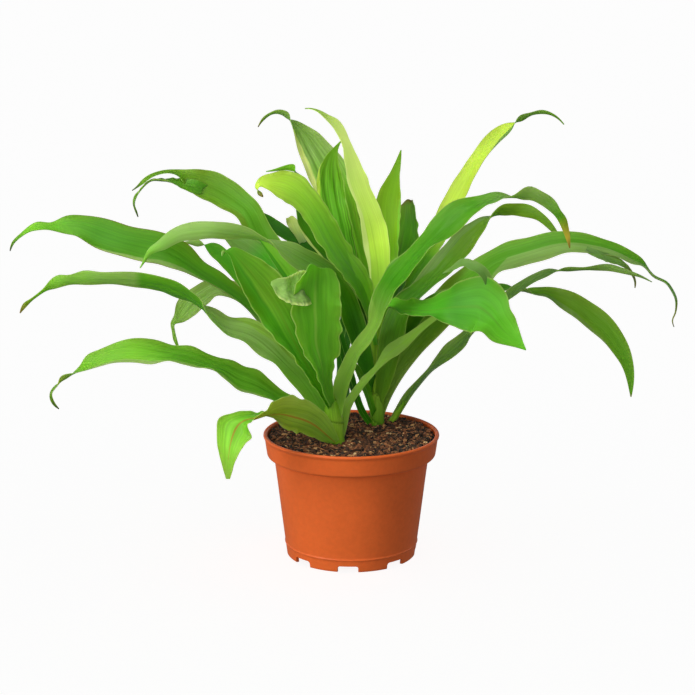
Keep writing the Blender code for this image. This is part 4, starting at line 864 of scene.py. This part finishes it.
def leaf_material(name, look_plan, settings, seed):
    """Living leaf: tones along the blade, with painted shade and highlights among them, a fold line,
    lengthwise streaks, fine veins, midrib and rim, and a painted glow.
    """
    nodes = Nodes(name)
    # look_plan.light is painted light and shade: the whole leaf's tones made lighter or darker for how light
    # falls on it
    light = settings.leaf_light * look_plan.light
    along, across, under = nodes.mark("along"), nodes.mark("across"), nodes.mark("under")
    upper = nodes.ramp(along, tone_stops(look_plan.upper, light))
    lower = nodes.ramp(along, tone_stops(look_plan.under, light))
    fold = nodes.ramp(along, tone_stops(look_plan.fold, light))

    # A ramp holds 0 to 1, so the fold line and the blade's -2 to 2 are carried into that range
    border = nodes.ramp(along, [(where, ((line + 2.0) / 4.0,) * 3) for where, line in look_plan.border])
    wander = nodes.less(nodes.noise(nodes.join(along, float(seed), 0.0), FOLD_WANDER_SCALE), 0.5)
    level = nodes.plus(nodes.times(across, 0.25), 0.5)
    level = nodes.plus(level, nodes.times(wander, FOLD_WANDER))
    past = nodes.times(nodes.less(level, border), float(look_plan.side))
    colour = nodes.mix(nodes.remap(past, *FOLD_BLEND, smooth=True), upper, fold)
    colour = nodes.mix(under, colour, lower)

    calm = nodes.remap(nodes.mark("breadth"), 0.0, 1.0, settings.tip_share, 1.0)
    run = nodes.times(along, look_plan.grain)
    flow = nodes.join(nodes.times(across, look_plan.streaks), run, float(seed))
    streak = nodes.times(nodes.less(nodes.noise(flow, 1.0, 2.0, 0.6, 0.2), 0.5), calm)
    colour = nodes.varied(colour, streak, STREAK_RANGE, look_plan.streak)
    thread = nodes.join(nodes.times(across, VEINS_ACROSS), nodes.times(along, VEINS_ALONG), seed + VEIN_SEED)
    vein = nodes.times(nodes.less(nodes.noise(thread, 1.0, 1.0, 0.5), 0.5), calm)
    colour = nodes.varied(colour, vein, VEIN_RANGE, settings.vein_contrast)
    patch = nodes.noise(nodes.object_place(), PATCH_SCALE, 2.0, 0.5)
    colour = nodes.scale_colour(colour, nodes.remap(patch, 0.3, 0.7, 1.0 - PATCH_SHARE, 1.0 + PATCH_SHARE))

    aside = nodes.arithmetic("ABSOLUTE", across)
    if look_plan.rib:
        near_rib = nodes.remap(aside, *RIB_REACH, RIB_SHARE, 0.0, smooth=True)
        rib_share = nodes.times(near_rib, nodes.remap(along, *RIB_FADE, 1.0, 0.0))
        colour = nodes.mix(rib_share, colour, tone_colour(look_plan.rib, light))
    near_rim = nodes.remap(aside, RIM_FULL - look_plan.edge, RIM_FULL, 0.0, RIM_SHARE, smooth=True)
    colour = nodes.mix(nodes.times(near_rim, calm), colour, tone_colour(look_plan.rim, light))

    nodes.put(nodes.shader.inputs["Base Color"], colour)
    smoothest, roughest = settings.leaf_roughness - 0.05, settings.leaf_roughness + 0.08
    nodes.put(nodes.shader.inputs["Roughness"], nodes.remap(streak, -0.2, 0.2, smoothest, roughest))
    # Painted glow: the leaf's colour sent out as emission, standing for light that comes through it from
    # behind
    nodes.put(nodes.shader.inputs["Emission Color"], colour)
    nodes.finish(LEAF_FINISH)
    nodes.finish({"Emission Strength": look_plan.shine, "Subsurface Weight": settings.leaf_glow})
    nodes.bump(nodes.plus(nodes.times(vein, 0.5), streak), settings.vein_depth)
    return nodes.material


def shoot_material(settings):
    """Shoot of wrapped leaf bases: pale at the soil, greener above, dark lines where sheaths lap."""
    nodes = Nodes("shoot_sheaths")
    along, sheath = nodes.mark("along"), nodes.mark("sheath")
    green = tuple(settings.shoot_tone)
    shaded_green = tuple(np.array(green) * 0.7)
    body = nodes.ramp(along, [(0.0, linear(SHOOT_FOOT_TONE)), (0.15, shaded_green),
                              (0.5, linear(SHOOT_MIDDLE_TONE)), (1.0, green)])
    flow = nodes.join(nodes.times(nodes.mark("turn"), SHOOT_STREAKS), nodes.times(along, 2.0), 3.0)
    streak = nodes.noise(flow, 1.0, 2.0, 0.6)
    body = nodes.scale_colour(body, nodes.remap(streak, 0.3, 0.7, 0.72, 1.2))
    body = nodes.scale_colour(body, nodes.remap(sheath, 0.0, 0.16, 0.45, 1.0, smooth=True))
    edge = nodes.remap(sheath, 0.93, 1.0, 0.0, 0.7, smooth=True)
    body = nodes.mix(edge, body, linear(SHEATH_EDGE_TONE))
    nodes.put(nodes.shader.inputs["Base Color"], body)
    nodes.put(nodes.shader.inputs["Roughness"], nodes.remap(streak, 0.3, 0.7, 0.38, 0.55))
    nodes.finish(SHOOT_FINISH)
    nodes.bump(streak, 0.0003)
    return nodes.material


def mix_material(settings):
    """Bark and peat: each bit its own brown, with rough grain."""
    nodes = Nodes("bark_and_peat")
    shades = [(where, linear(tone)) for where, tone in MIX_SHADES]
    shades.insert(MIX_MAIN_PLACE, (0.5, tuple(settings.bark_tone)))
    body = nodes.ramp(nodes.mark("shade"), shades)
    grain = nodes.noise(nodes.object_place(), 900.0, 3.0, 0.65)
    body = nodes.scale_colour(body, nodes.remap(grain, 0.3, 0.7, 0.5, 1.4))
    nodes.put(nodes.shader.inputs["Base Color"], body)
    nodes.put(nodes.shader.inputs["Roughness"], nodes.remap(grain, 0.3, 0.7, 0.75, 0.98))
    nodes.bump(grain, 0.0006)
    return nodes.material


def pot_material(settings):
    """Terracotta-coloured plastic: satin, faintly clouded, with a fine moulded grain and light scuffs."""
    nodes = Nodes("terracotta_plastic")
    place = nodes.object_place()
    darker, lighter = (tuple(np.array(settings.pot_tone) * share) for share in POT_CLOUDS)
    cloud = nodes.noise(place, 14.0, 3.0, 0.55)
    body = nodes.mix(nodes.remap(cloud, 0.3, 0.7, 0.0, 1.0), darker, lighter)
    fleck = nodes.noise(place, 260.0, 2.0, 0.6)
    body = nodes.scale_colour(body, nodes.remap(fleck, 0.35, 0.65, 0.97, 1.03))
    nodes.put(nodes.shader.inputs["Base Color"], body)
    scuff = nodes.noise(place, 60.0, 4.0, 0.65)
    smoothest, roughest = settings.pot_roughness - 0.04, settings.pot_roughness + 0.07
    nodes.put(nodes.shader.inputs["Roughness"], nodes.remap(scuff, 0.3, 0.7, smoothest, roughest))
    nodes.finish(POT_FINISH)
    nodes.bump(nodes.noise(place, 1400.0, 2.0, 0.5), 0.00004)
    return nodes.material


# Turned and ringed forms

def turned_faces(rings, sides, first=0):
    """Faces of a closed turned form whose points run: first pole, rings of points, last pole."""
    turn = np.arange(sides)
    after = (turn + 1) % sides
    start = first + 1
    end = start + rings * sides
    top = start + (rings - 1) * sides
    body = grid_faces(rings, sides, start, closed=True)
    foot = np.stack([np.full(sides, first), start + after, start + turn], 1)
    head = np.stack([np.full(sides, end), top + turn, top + after], 1)
    return foot.tolist() + body.tolist() + head.tolist()


def turned_points(radius, height, angle):
    """Rings of radius and height swept round the upright axis, with a pole at each end of the outline."""
    x, y = radius * np.cos(angle), radius * np.sin(angle)
    rings = np.stack([x, y, np.broadcast_to(height, x.shape)], 2)
    ends = np.array([[0.0, 0.0, height[0].mean()], [0.0, 0.0, height[-1].mean()]])
    return np.concatenate([ends[:1], rings.reshape(-1, 3), ends[1:]])


def refined(outline, longest):
    """The outline with points added so that no step is longer than a length."""
    outline = np.array(outline)
    steps = np.linalg.norm(np.diff(outline, axis=0), axis=1)
    places = np.concatenate([[0.0], np.cumsum(steps)])
    counts = np.maximum(np.ceil(steps / longest).astype(int), 1)
    wanted = np.concatenate([np.linspace(places[k], places[k + 1], counts[k], endpoint=False)
                             for k in range(len(steps))] + [places[-1:]])
    return np.stack([np.interp(wanted, places, outline[:, 0]), np.interp(wanted, places, outline[:, 1])], 1)


def notch_centres():
    """Angle of each notch's middle."""
    return math.radians(NOTCH_FIRST_DEG) + np.arange(NOTCH_COUNT) * 2.0 * math.pi / NOTCH_COUNT


def from_notch(angles):
    """How far each angle is from the nearest notch's middle."""
    return np.abs(np.angle(np.exp(1j * (angles[:, None] - notch_centres())))).min(axis=1)


def notch_angles(sides):
    """Angles round the pot: even steps, and close ones at each notch's corners."""
    offsets = np.array(NOTCH_STEPS) / FOOT_RADIUS
    offsets = np.concatenate([-offsets, [0.0], offsets[::-1]])
    near = (notch_centres()[:, None] + offsets).ravel()
    even = np.arange(sides) * 2.0 * math.pi / sides - math.pi
    away = from_notch(even)
    angles = np.concatenate([near, even[away > offsets[-1] + 0.004]])
    return np.sort(np.angle(np.exp(1j * angles)))


def notch_heights(angles):
    """Height of the notch over each angle: a flat roof with a quarter round at both ends, 0 elsewhere."""
    aside = from_notch(angles) * FOOT_RADIUS
    into = np.clip(aside - (NOTCH_WIDTH / 2.0 - NOTCH_CORNER), 0.0, NOTCH_CORNER)
    roof = NOTCH_HEIGHT - NOTCH_CORNER + np.sqrt(NOTCH_CORNER ** 2 - into ** 2)
    return np.where(aside < NOTCH_WIDTH / 2.0, roof, 0.0)


def make_pot_piece(settings):
    """The pot's outline turned round the axis, its skirt pressed up from below into each notch.

    A point at height z in the skirt goes to n + z * (top - n) / top, where n is the notch's height there.
    """
    under = refined(POT_SKIRT_INSIDE[::-1], 2.5)[1:]
    foot = refined([POT_SKIRT_INSIDE[0], POT_WALL[0]], 1.0)
    wall = refined(POT_WALL, 1.6)
    inside = refined(POT_INSIDE, 4.0)[:-1]
    outline = np.concatenate([under[:-1], foot, wall[1:], inside])
    angles = notch_angles(settings.pot_sides)
    notch = notch_heights(angles)[None, :]
    radius, height = outline[:, :1], outline[:, 1:]
    outer = radius > SKIRT_MIDDLE_RADIUS
    top = np.where(outer, SKIRT_OUTER_TOP, SKIRT_INNER_TOP)
    skirt = np.arange(len(outline))[:, None] < len(under) + SKIRT_POINTS
    skirt = skirt & (height < top)
    lifted = np.where(skirt, notch + height * (top - notch) / top, height)
    lean = np.where(outer, SKIRT_OUTER_LEAN, SKIRT_INNER_LEAN)
    radius = radius + np.where(skirt, (lifted - height) * lean, 0.0)
    points = turned_points(radius, lifted, angles[None, :])
    faces = turned_faces(len(outline), len(angles))
    piece = new_piece("nursery_pot", points, faces, pot_material(settings), sharp_deg=38.0)
    fix_outward(piece)
    return piece


def fix_outward(piece):
    """Turns a closed piece's faces outwards, by the sign of the volume they enclose."""
    mesh = piece.data
    mesh.calc_loop_triangles()
    corners = np.empty(len(mesh.loop_triangles) * 3, dtype=np.int32)
    mesh.loop_triangles.foreach_get("vertices", corners)
    points = np.empty(len(mesh.vertices) * 3)
    mesh.vertices.foreach_get("co", points)
    a, b, c = points.reshape(-1, 3)[corners.reshape(-1, 3)].transpose(1, 0, 2)
    if np.einsum("ij,ij->", a, np.cross(b, c)) < 0.0:
        mesh.flip_normals()


def ringed_surface(rings, rows, sides, sheaths, ridge):
    """Round stalk on a natural cubic through its rings.

    A point is centre(u) + r(u, a) * (cos a * first + sin a * second), where first and second lie across
    the path. r is the ring's radius, less a saw-tooth that climbs round the stalk once for each sheath.
    """
    table = np.array(rings, dtype=float)
    steps = np.linalg.norm(np.diff(table[:, :3], axis=0), axis=1)
    knots = np.concatenate([[0.0], np.cumsum(steps)])
    wanted = np.linspace(0.0, knots[-1], rows)
    value, slope = natural_spline(knots, table, wanted)
    tangent = slope[:, :3] / np.linalg.norm(slope[:, :3], axis=1, keepdims=True)
    first = np.cross(tangent, np.array([0.0, 1.0, 0.0]))
    first /= np.linalg.norm(first, axis=1, keepdims=True)
    second = np.cross(tangent, first)
    angle = np.arange(sides)[None, :] * 2.0 * math.pi / sides
    u = (wanted / knots[-1])[:, None]
    sheath = np.mod(angle / (2.0 * math.pi) + u * sheaths, 1.0)
    radius = np.maximum(value[:, 3:], STALK_LEAST_RADIUS) * (1.0 - ridge * sheath)
    around = np.cos(angle)[..., None] * first[:, None] + np.sin(angle)[..., None] * second[:, None]
    points = value[:, None, :3] + radius[..., None] * around
    tip = value[-1:, :3] + tangent[-1:] * STALK_LEAST_RADIUS
    points = np.concatenate([value[:1, :3], points.reshape(-1, 3), tip])
    turn = np.broadcast_to(np.abs(angle / math.pi - 1.0), sheath.shape)
    marks = {"along": np.concatenate([[0.0], np.broadcast_to(u, sheath.shape).ravel(), [1.0]]),
             "sheath": np.concatenate([[0.5], sheath.ravel(), [0.5]]),
             "turn": np.concatenate([[0.0], turn.ravel(), [0.0]])}
    return points, turned_faces(rows, sides), marks


def soil_height(x, y, level):
    """Level of the mix: low rounded heaps, as a sum of four crossed waves."""
    heaps = 0.5 * np.sin(0.21 * x + 1.0) * np.cos(0.17 * y) + 0.35 * np.sin(0.43 * y + 0.11 * x + 2.0)
    return level + heaps + 0.3 * np.cos(0.61 * x - 0.37 * y)


def bark_bits(settings, rng):
    """Bits of bark: boxes with shifted corners, turned any way round the upright and tipped a little.

    A bit's corner is centre + turn * tip * (size * (corner + shift) / 2).
    """
    count = settings.bark_count
    splinter = rng.random(count) < SPLINTER_SHARE
    length = np.where(splinter, rng.uniform(*SPLINTER_LENGTH, count), rng.uniform(*CHIP_LENGTH, count))
    breadth = np.where(splinter, rng.uniform(*SPLINTER_BREADTH, count), length * rng.uniform(0.4, 0.8, count))
    size = np.stack([length, breadth, rng.uniform(*BIT_THICKNESS, count)], 1)
    reach = (SOIL_RADIUS - 1.0 - length / 2.0) * np.sqrt(rng.random(count))
    bearing = rng.uniform(0.0, 2.0 * math.pi, count)
    x, y = reach * np.cos(bearing), reach * np.sin(bearing)
    z = soil_height(x, y, SOIL_LEVEL) + rng.uniform(*BIT_RISE, count)
    signs = np.array([(a, b, c) for c in (-1, 1) for b in (-1, 1) for a in (-1, 1)], dtype=float)
    shift = rng.uniform(-CORNER_SHIFT, CORNER_SHIFT, (count, 8, 3))
    corner = (signs[None] + shift) * size[:, None] / 2.0
    turn = rng.uniform(0, 2 * math.pi, count)
    tip = rng.normal(0, BIT_TIP, count)
    roll = rng.normal(0, BIT_TIP, count)
    cx, sx, cy, sy = np.cos(roll), np.sin(roll), np.cos(tip), np.sin(tip)
    cz, sz = np.cos(turn), np.sin(turn)
    matrix = np.stack([np.stack([cz * cy, cz * sy * sx - sz * cx, cz * sy * cx + sz * sx], 1),
                       np.stack([sz * cy, sz * sy * sx + cz * cx, sz * sy * cx - cz * sx], 1),
                       np.stack([-sy, cy * sx, cy * cx], 1)], 1)
    points = np.einsum("nij,nkj->nki", matrix, corner) + np.stack([x, y, z], 1)[:, None]
    box = np.array([(0, 2, 3, 1), (4, 5, 7, 6), (0, 1, 5, 4), (2, 6, 7, 3), (0, 4, 6, 2), (1, 3, 7, 5)])
    faces = (np.arange(count)[:, None, None] * 8 + box[None]).reshape(-1, 4)
    shade = np.repeat(np.clip(rng.beta(1.3, 1.5, count), 0.0, 1.0), 8)
    return points.reshape(-1, 3), faces, shade


def make_mix_piece(settings):
    """Potting mix: a closed turned block whose top is soil_height(x, y), with bark bits lying on it."""
    rng = np.random.default_rng(settings.bark_seed)
    wall_radius, wall_height = np.array(SOIL_WALL).T
    rows = np.concatenate([wall_radius, np.linspace(SOIL_RADIUS, SOIL_CORE_RADIUS, SOIL_TOP_RINGS)])
    level = np.concatenate([wall_height, np.full(SOIL_TOP_RINGS, SOIL_LEVEL)])
    angle = np.arange(SOIL_SIDES) * 2.0 * math.pi / SOIL_SIDES
    radius = rows[:, None] * np.ones((1, SOIL_SIDES))
    x, y = radius * np.cos(angle), radius * np.sin(angle)
    on_top = np.arange(len(rows))[:, None] >= len(SOIL_WALL)
    height = np.where(on_top, soil_height(x, y, SOIL_LEVEL), level[:, None])
    block = turned_points(radius, height, angle[None, :])
    faces = turned_faces(len(rows), SOIL_SIDES)
    bits, bit_faces, shade = bark_bits(settings, rng)
    points = np.concatenate([block, bits])
    faces = faces + (bit_faces + len(block)).tolist()
    # The block between the bits gets the darkest tone: dark peat, with painted shade in the gaps between bits
    marks = {"shade": np.concatenate([np.full(len(block), DARK_PEAT_AND_GAP_SHADE), shade])}
    piece = new_piece("bark_mix", points, faces, mix_material(settings), marks, 30.0)
    fix_outward(piece)
    return piece


# Settings

class LeafSettings(bpy.types.PropertyGroup):
    """Fineness, form and finish of the leaves."""
    leaf_rows: bpy.props.IntProperty(
        name="Rows", description="Points along each blade", default=97, min=9, max=400)
    leaf_columns: bpy.props.IntProperty(
        name="Columns", description="Points across each blade", default=25, min=5, max=99)
    leaf_thickness: bpy.props.FloatProperty(
        name="Thickness", description="Thickness at the midrib", default=0.0007, min=0.0, unit="LENGTH",
        precision=5)
    rim_thickness: bpy.props.FloatProperty(
        name="Rim thickness", description="Thickness at the margin", default=0.0003, min=0.0, unit="LENGTH",
        precision=5)
    pleat_share: bpy.props.FloatProperty(
        name="Pleats", description="Height of the pleats as a share of the width", default=0.016, min=0.0,
        max=0.2)
    groove_share: bpy.props.FloatProperty(
        name="Groove", description="Depth of the midrib's groove as a share", default=0.02, min=0.0, max=0.2)
    crinkle_share: bpy.props.FloatProperty(
        name="Crinkle", description="Height of the margin's crinkle as a share", default=0.03, min=0.0,
        max=0.3)
    leaf_light: bpy.props.FloatProperty(
        name="Lightness", description="How light the leaves' own colours are", default=0.8, min=0.0, max=2.0)
    leaf_roughness: bpy.props.FloatProperty(
        name="Roughness", description="Roughness of the leaves", default=0.42, min=0.0, max=1.0,
        subtype="FACTOR")
    leaf_glow: bpy.props.FloatProperty(
        name="Glow", description="Light that passes inside a leaf", default=0.6, min=0.0, max=1.0,
        subtype="FACTOR")
    vein_contrast: bpy.props.FloatProperty(
        name="Veins", description="Contrast of the fine veins", default=0.06, min=0.0, max=1.0,
        subtype="FACTOR")
    vein_depth: bpy.props.FloatProperty(
        name="Vein depth", description="Relief of the veins and streaks", default=0.0002, min=0.0,
        unit="LENGTH", precision=5)
    tip_share: bpy.props.FloatProperty(
        name="Narrow veins", description="Share of streaks and veins where narrow", default=0.1, min=0.0,
        max=1.0, subtype="FACTOR")
    plain_width: bpy.props.FloatProperty(
        name="Plain width", description="Width under which a blade has no pleats", default=0.007, min=0.0,
        unit="LENGTH", precision=5)
    crumple_share: bpy.props.FloatProperty(
        name="Crumple", description="Height of the waves of crumpled leaves", default=0.03, min=0.0, max=0.3)
    end_share: bpy.props.FloatProperty(
        name="Blunt end", description="How far a blunt blade's corners are rounded", default=0.1, min=0.0,
        max=0.5)


class PlantSettings(bpy.types.PropertyGroup):
    """Shoots, potting mix and pot."""
    shoot_tone: bpy.props.FloatVectorProperty(
        name="Shoot colour", description="Green of the shoots' upper part", subtype="COLOR",
        default=linear((104, 164, 26)), min=0.0, max=1.0)
    bark_count: bpy.props.IntProperty(
        name="Bark bits", description="Number of bits of bark", default=5600, min=0, max=12000)
    bark_seed: bpy.props.IntProperty(
        name="Bark seed", description="Chooses how the bits lie", default=7, min=0)
    bark_tone: bpy.props.FloatVectorProperty(
        name="Bark colour", description="Main brown of the bark", subtype="COLOR",
        default=linear((100, 62, 36)), min=0.0, max=1.0)
    pot_sides: bpy.props.IntProperty(
        name="Pot sides", description="Even steps round the pot", default=192, min=32, max=1024)
    pot_tone: bpy.props.FloatVectorProperty(
        name="Pot colour", description="Terracotta of the pot", subtype="COLOR",
        default=linear((233, 107, 46)), min=0.0, max=1.0)
    pot_roughness: bpy.props.FloatProperty(
        name="Pot roughness", description="Roughness of the pot", default=0.42, min=0.0, max=1.0,
        subtype="FACTOR")


class StageSettings(bpy.types.PropertyGroup):
    """Floor and lights."""
    floor_size: bpy.props.FloatProperty(
        name="Floor size", description="Side of the square floor", default=30.0, min=1.0, unit="LENGTH")
    side_power: bpy.props.FloatProperty(
        name="Side softbox", description="Power of the tall light on the left", default=23.0, min=0.0,
        unit="POWER")
    top_power: bpy.props.FloatProperty(
        name="Top softbox", description="Power of the light above on the left", default=15.0, min=0.0,
        unit="POWER")
    front_power: bpy.props.FloatProperty(
        name="Front softbox", description="Power of the light in front of the leaves", default=21.0,
        min=0.0, unit="POWER")
    sky_low: bpy.props.FloatProperty(
        name="Horizon", description="Light from near the horizon", default=1.0, min=0.0)
    sky_high: bpy.props.FloatProperty(
        name="Overhead", description="Light from overhead", default=0.2, min=0.0)
    sky_below: bpy.props.FloatProperty(
        name="Below", description="Light thrown back from below", default=0.16, min=0.0)


# Operators

class DRACAENA_OT_make_pot(bpy.types.Operator):
    """Makes the nursery pot"""
    bl_idname = "dracaena.make_pot"
    bl_label = "Make pot"

    def execute(self, context):
        pot = make_pot_piece(context.scene.dracaena_plant)
        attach(pot, "root")
        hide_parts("pot")
        return {"FINISHED"}


class DRACAENA_OT_make_mix(bpy.types.Operator):
    """Makes the potting mix"""
    bl_idname = "dracaena.make_mix"
    bl_label = "Make potting mix"

    def execute(self, context):
        mix = make_mix_piece(context.scene.dracaena_plant)
        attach(mix, "root")
        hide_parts("soil")
        return {"FINISHED"}


class DRACAENA_OT_make_shoots(bpy.types.Operator):
    """Makes the two shoots"""
    bl_idname = "dracaena.make_shoots"
    bl_label = "Make shoots"

    def execute(self, context):
        settings = context.scene.dracaena_plant
        finish = shoot_material(settings)
        for name, rings, sheaths in (("front_stem", FRONT_STEM, 3.0), ("rear_stem", REAR_STEM, 5.0)):
            points, faces, marks = ringed_surface(rings, 80, 64, sheaths, 0.1)
            shoot = new_piece(name.replace("stem", "shoot"), points, faces, finish, marks, 40.0)
            fix_outward(shoot)
            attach(shoot, "root")
            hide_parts(name)
        return {"FINISHED"}


class DRACAENA_OT_make_leaves(bpy.types.Operator):
    """Makes every leaf, with the pieces that are joined to it"""
    bl_idname = "dracaena.make_leaves"
    bl_label = "Make leaves"

    def execute(self, context):
        settings = context.scene.dracaena_leaves
        for seed, plan in enumerate(LEAVES):
            if plan.joined_to:
                continue
            joined = [(extra, part) for extra, part in enumerate(LEAVES) if part.joined_to == plan.name]
            blades = [(seed, plan)] + joined
            shells = [blade_mesh(part, LOOKS[part.name], settings, number) for number, part in blades]
            finishes = [living_leaf(part, settings, number) for number, part in blades]
            if plan.name == "leaf_right_slender":
                shells.append(ringed_surface(SLENDER_STALK, 24, 32, 0.0, 0.0))
                finishes.append(shoot_material(context.scene.dracaena_plant))
            make_blade_piece(plan, shells, finishes)
        return {"FINISHED"}


def living_leaf(plan, settings, seed):
    """A blade's own finish."""
    return leaf_material(plan.name.replace("leaf_", "living_"), LOOKS[plan.name], settings, seed)


def make_blade_piece(plan, shells, finishes):
    """One leaf from its shells: the blade and what is joined to it, each with its own finish."""
    points, faces, owners = [], [], []
    marks = {mark: [] for mark in ("along", "across", "under", "breadth", "sheath", "turn")}
    for place, (shell_points, shell_faces, shell_marks) in enumerate(shells):
        first = sum(len(part) for part in points)
        points.append(shell_points)
        shell_faces = shell_faces if isinstance(shell_faces, list) else shell_faces.tolist()
        faces += [[corner + first for corner in face] for face in shell_faces]
        owners += [place] * len(shell_faces)
        for mark, parts in marks.items():
            parts.append(shell_marks.get(mark, np.zeros(len(shell_points))))
    used = {mark: parts for mark, parts in marks.items() if any(part.any() for part in parts)}
    joined = {mark: np.concatenate(parts) for mark, parts in used.items()}
    name = plan.name.replace("leaf_", "blade_")
    blade = new_piece(name, np.concatenate(points), faces, finishes[0], joined, 60.0)
    for finish in finishes[1:]:
        blade.data.materials.append(finish)
    blade.data.polygons.foreach_set("material_index", np.array(owners, dtype=np.int32))
    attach(blade, "root")
    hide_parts(plan.name)


class DRACAENA_OT_make_stage(bpy.types.Operator):
    """Makes the floor, the lights, the sky and the camera"""
    bl_idname = "dracaena.make_stage"
    bl_label = "Make stage"

    def execute(self, context):
        scene = context.scene
        settings = scene.dracaena_stage
        make_floor(settings)
        make_sky(scene, settings)
        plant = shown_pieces()
        leafy = [piece for piece in plant if piece.name != "nursery_pot"]
        for box in SOFTBOXES:
            make_softbox(scene, box, getattr(settings, box.power), plant if box.on_pot else leafy)
        make_camera(scene)
        scene.view_settings.view_transform = "Standard"
        return {"FINISHED"}


def make_camera(scene):
    """The camera from which the leaves' stations are read."""
    camera = bpy.data.cameras.new("camera")
    camera.sensor_width = SENSOR_WIDTH
    camera.lens = VIEW_SCALE * SENSOR_WIDTH / VIEW_SIZE
    camera.clip_start, camera.clip_end = CLIP_RANGE
    eye = bpy.data.objects.new("camera", camera)
    scene.collection.objects.link(eye)
    eye.location = tuple(VIEW_POINT * MM)
    eye.rotation_euler = (math.pi / 2.0 - VIEW_DOWN, 0.0, 0.0)
    scene.camera = eye


def make_softbox(scene, box, power, lit_pieces):
    """An oblong soft light that faces the plant and lights only the pieces that it is given."""
    light = bpy.data.lights.new(box.name, "AREA")
    light.shape, light.energy = "RECTANGLE", power
    light.size, light.size_y = box.width, box.height
    light.color = LIGHT_COLOUR
    lamp = bpy.data.objects.new(box.name, light)
    scene.collection.objects.link(lamp)
    lamp.location = box.place
    aim = np.array([0.0, 0.0, AIM_HEIGHT]) - np.array(box.place)
    tilt = math.acos(-aim[2] / np.linalg.norm(aim))
    lamp.rotation_euler = (tilt, 0.0, math.atan2(aim[1], aim[0]) - math.pi / 2)
    lit = bpy.data.collections.new("lit_by_" + box.name)
    for piece in lit_pieces:
        lit.objects.link(piece)
    lamp.light_linking.receiver_collection = lit


def make_floor(settings):
    """A flat pale square under the pot that glows softly, so that it reads as a plain white sweep."""
    half = settings.floor_size / MM / 2.0
    corners = np.array([(-half, -half, 0.0), (half, -half, 0.0), (half, half, 0.0), (-half, half, 0.0)])
    nodes = Nodes("white_floor")
    nodes.finish(FLOOR_FINISH)
    floor = new_piece("floor", corners, [(0, 1, 2, 3)], nodes.material)
    floor.visible_diffuse = False
    floor.visible_glossy = False
    floor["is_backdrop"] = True


def make_sky(scene, settings):
    """A plain sky in bands: white near the horizon and dimmer overhead and below."""
    world = bpy.data.worlds.new("soft_sky")
    world.use_nodes = True
    tree = world.node_tree
    place = tree.nodes.new("ShaderNodeTexCoord")
    split = tree.nodes.new("ShaderNodeSeparateXYZ")
    tree.links.new(place.outputs["Generated"], split.inputs[0])
    rise = tree.nodes.new("ShaderNodeMapRange")
    rise.inputs["From Min"].default_value, rise.inputs["From Max"].default_value = -1.0, 1.0
    tree.links.new(split.outputs["Z"], rise.inputs["Value"])
    bands = tree.nodes.new("ShaderNodeValToRGB")
    tree.links.new(rise.outputs["Result"], bands.inputs["Fac"])
    lights = [(where, (getattr(settings, band),) * 3) for where, band in SKY_BANDS]
    fill_ramp(bands.color_ramp, lights)
    tree.links.new(bands.outputs["Color"], tree.nodes["Background"].inputs["Color"])
    tree.nodes["Background"].inputs["Strength"].default_value = 1.0
    scene.world = world


class DRACAENA_PT_panel(bpy.types.Panel):
    """Sizes, finishes and the steps that make the plant"""
    bl_label = "Potted dracaena"
    bl_space_type = "VIEW_3D"
    bl_region_type = "UI"
    bl_category = "Dracaena"

    def draw(self, context):
        scene = context.scene
        for title, settings, steps in (
                ("Leaves", scene.dracaena_leaves, ("dracaena.make_leaves",)),
                ("Shoots, mix and pot", scene.dracaena_plant,
                 ("dracaena.make_shoots", "dracaena.make_mix", "dracaena.make_pot")),
                ("Stage", scene.dracaena_stage, ("dracaena.make_stage",))):
            part = self.layout.box()
            part.label(text=title)
            for value in settings.__annotations__:
                part.prop(settings, value)
            for step in steps:
                part.operator(step)


CLASSES = (LeafSettings, PlantSettings, StageSettings, DRACAENA_OT_make_pot, DRACAENA_OT_make_mix,
           DRACAENA_OT_make_shoots, DRACAENA_OT_make_leaves, DRACAENA_OT_make_stage, DRACAENA_PT_panel)


def register():
    """Registers the settings, steps and panel."""
    for part in CLASSES:
        bpy.utils.register_class(part)
    bpy.types.Scene.dracaena_leaves = bpy.props.PointerProperty(type=LeafSettings)
    bpy.types.Scene.dracaena_plant = bpy.props.PointerProperty(type=PlantSettings)
    bpy.types.Scene.dracaena_stage = bpy.props.PointerProperty(type=StageSettings)


def unregister():
    """Takes the settings, steps and panel away again."""
    for name in ("dracaena_leaves", "dracaena_plant", "dracaena_stage"):
        delattr(bpy.types.Scene, name)
    for part in reversed(CLASSES):
        bpy.utils.unregister_class(part)


def main():
    """Makes the plant step by step."""
    register()
    bpy.ops.dracaena.make_pot()
    bpy.ops.dracaena.make_mix()
    bpy.ops.dracaena.make_shoots()
    bpy.ops.dracaena.make_leaves()
    bpy.ops.dracaena.make_stage()


if __name__ == "__main__":
    main()
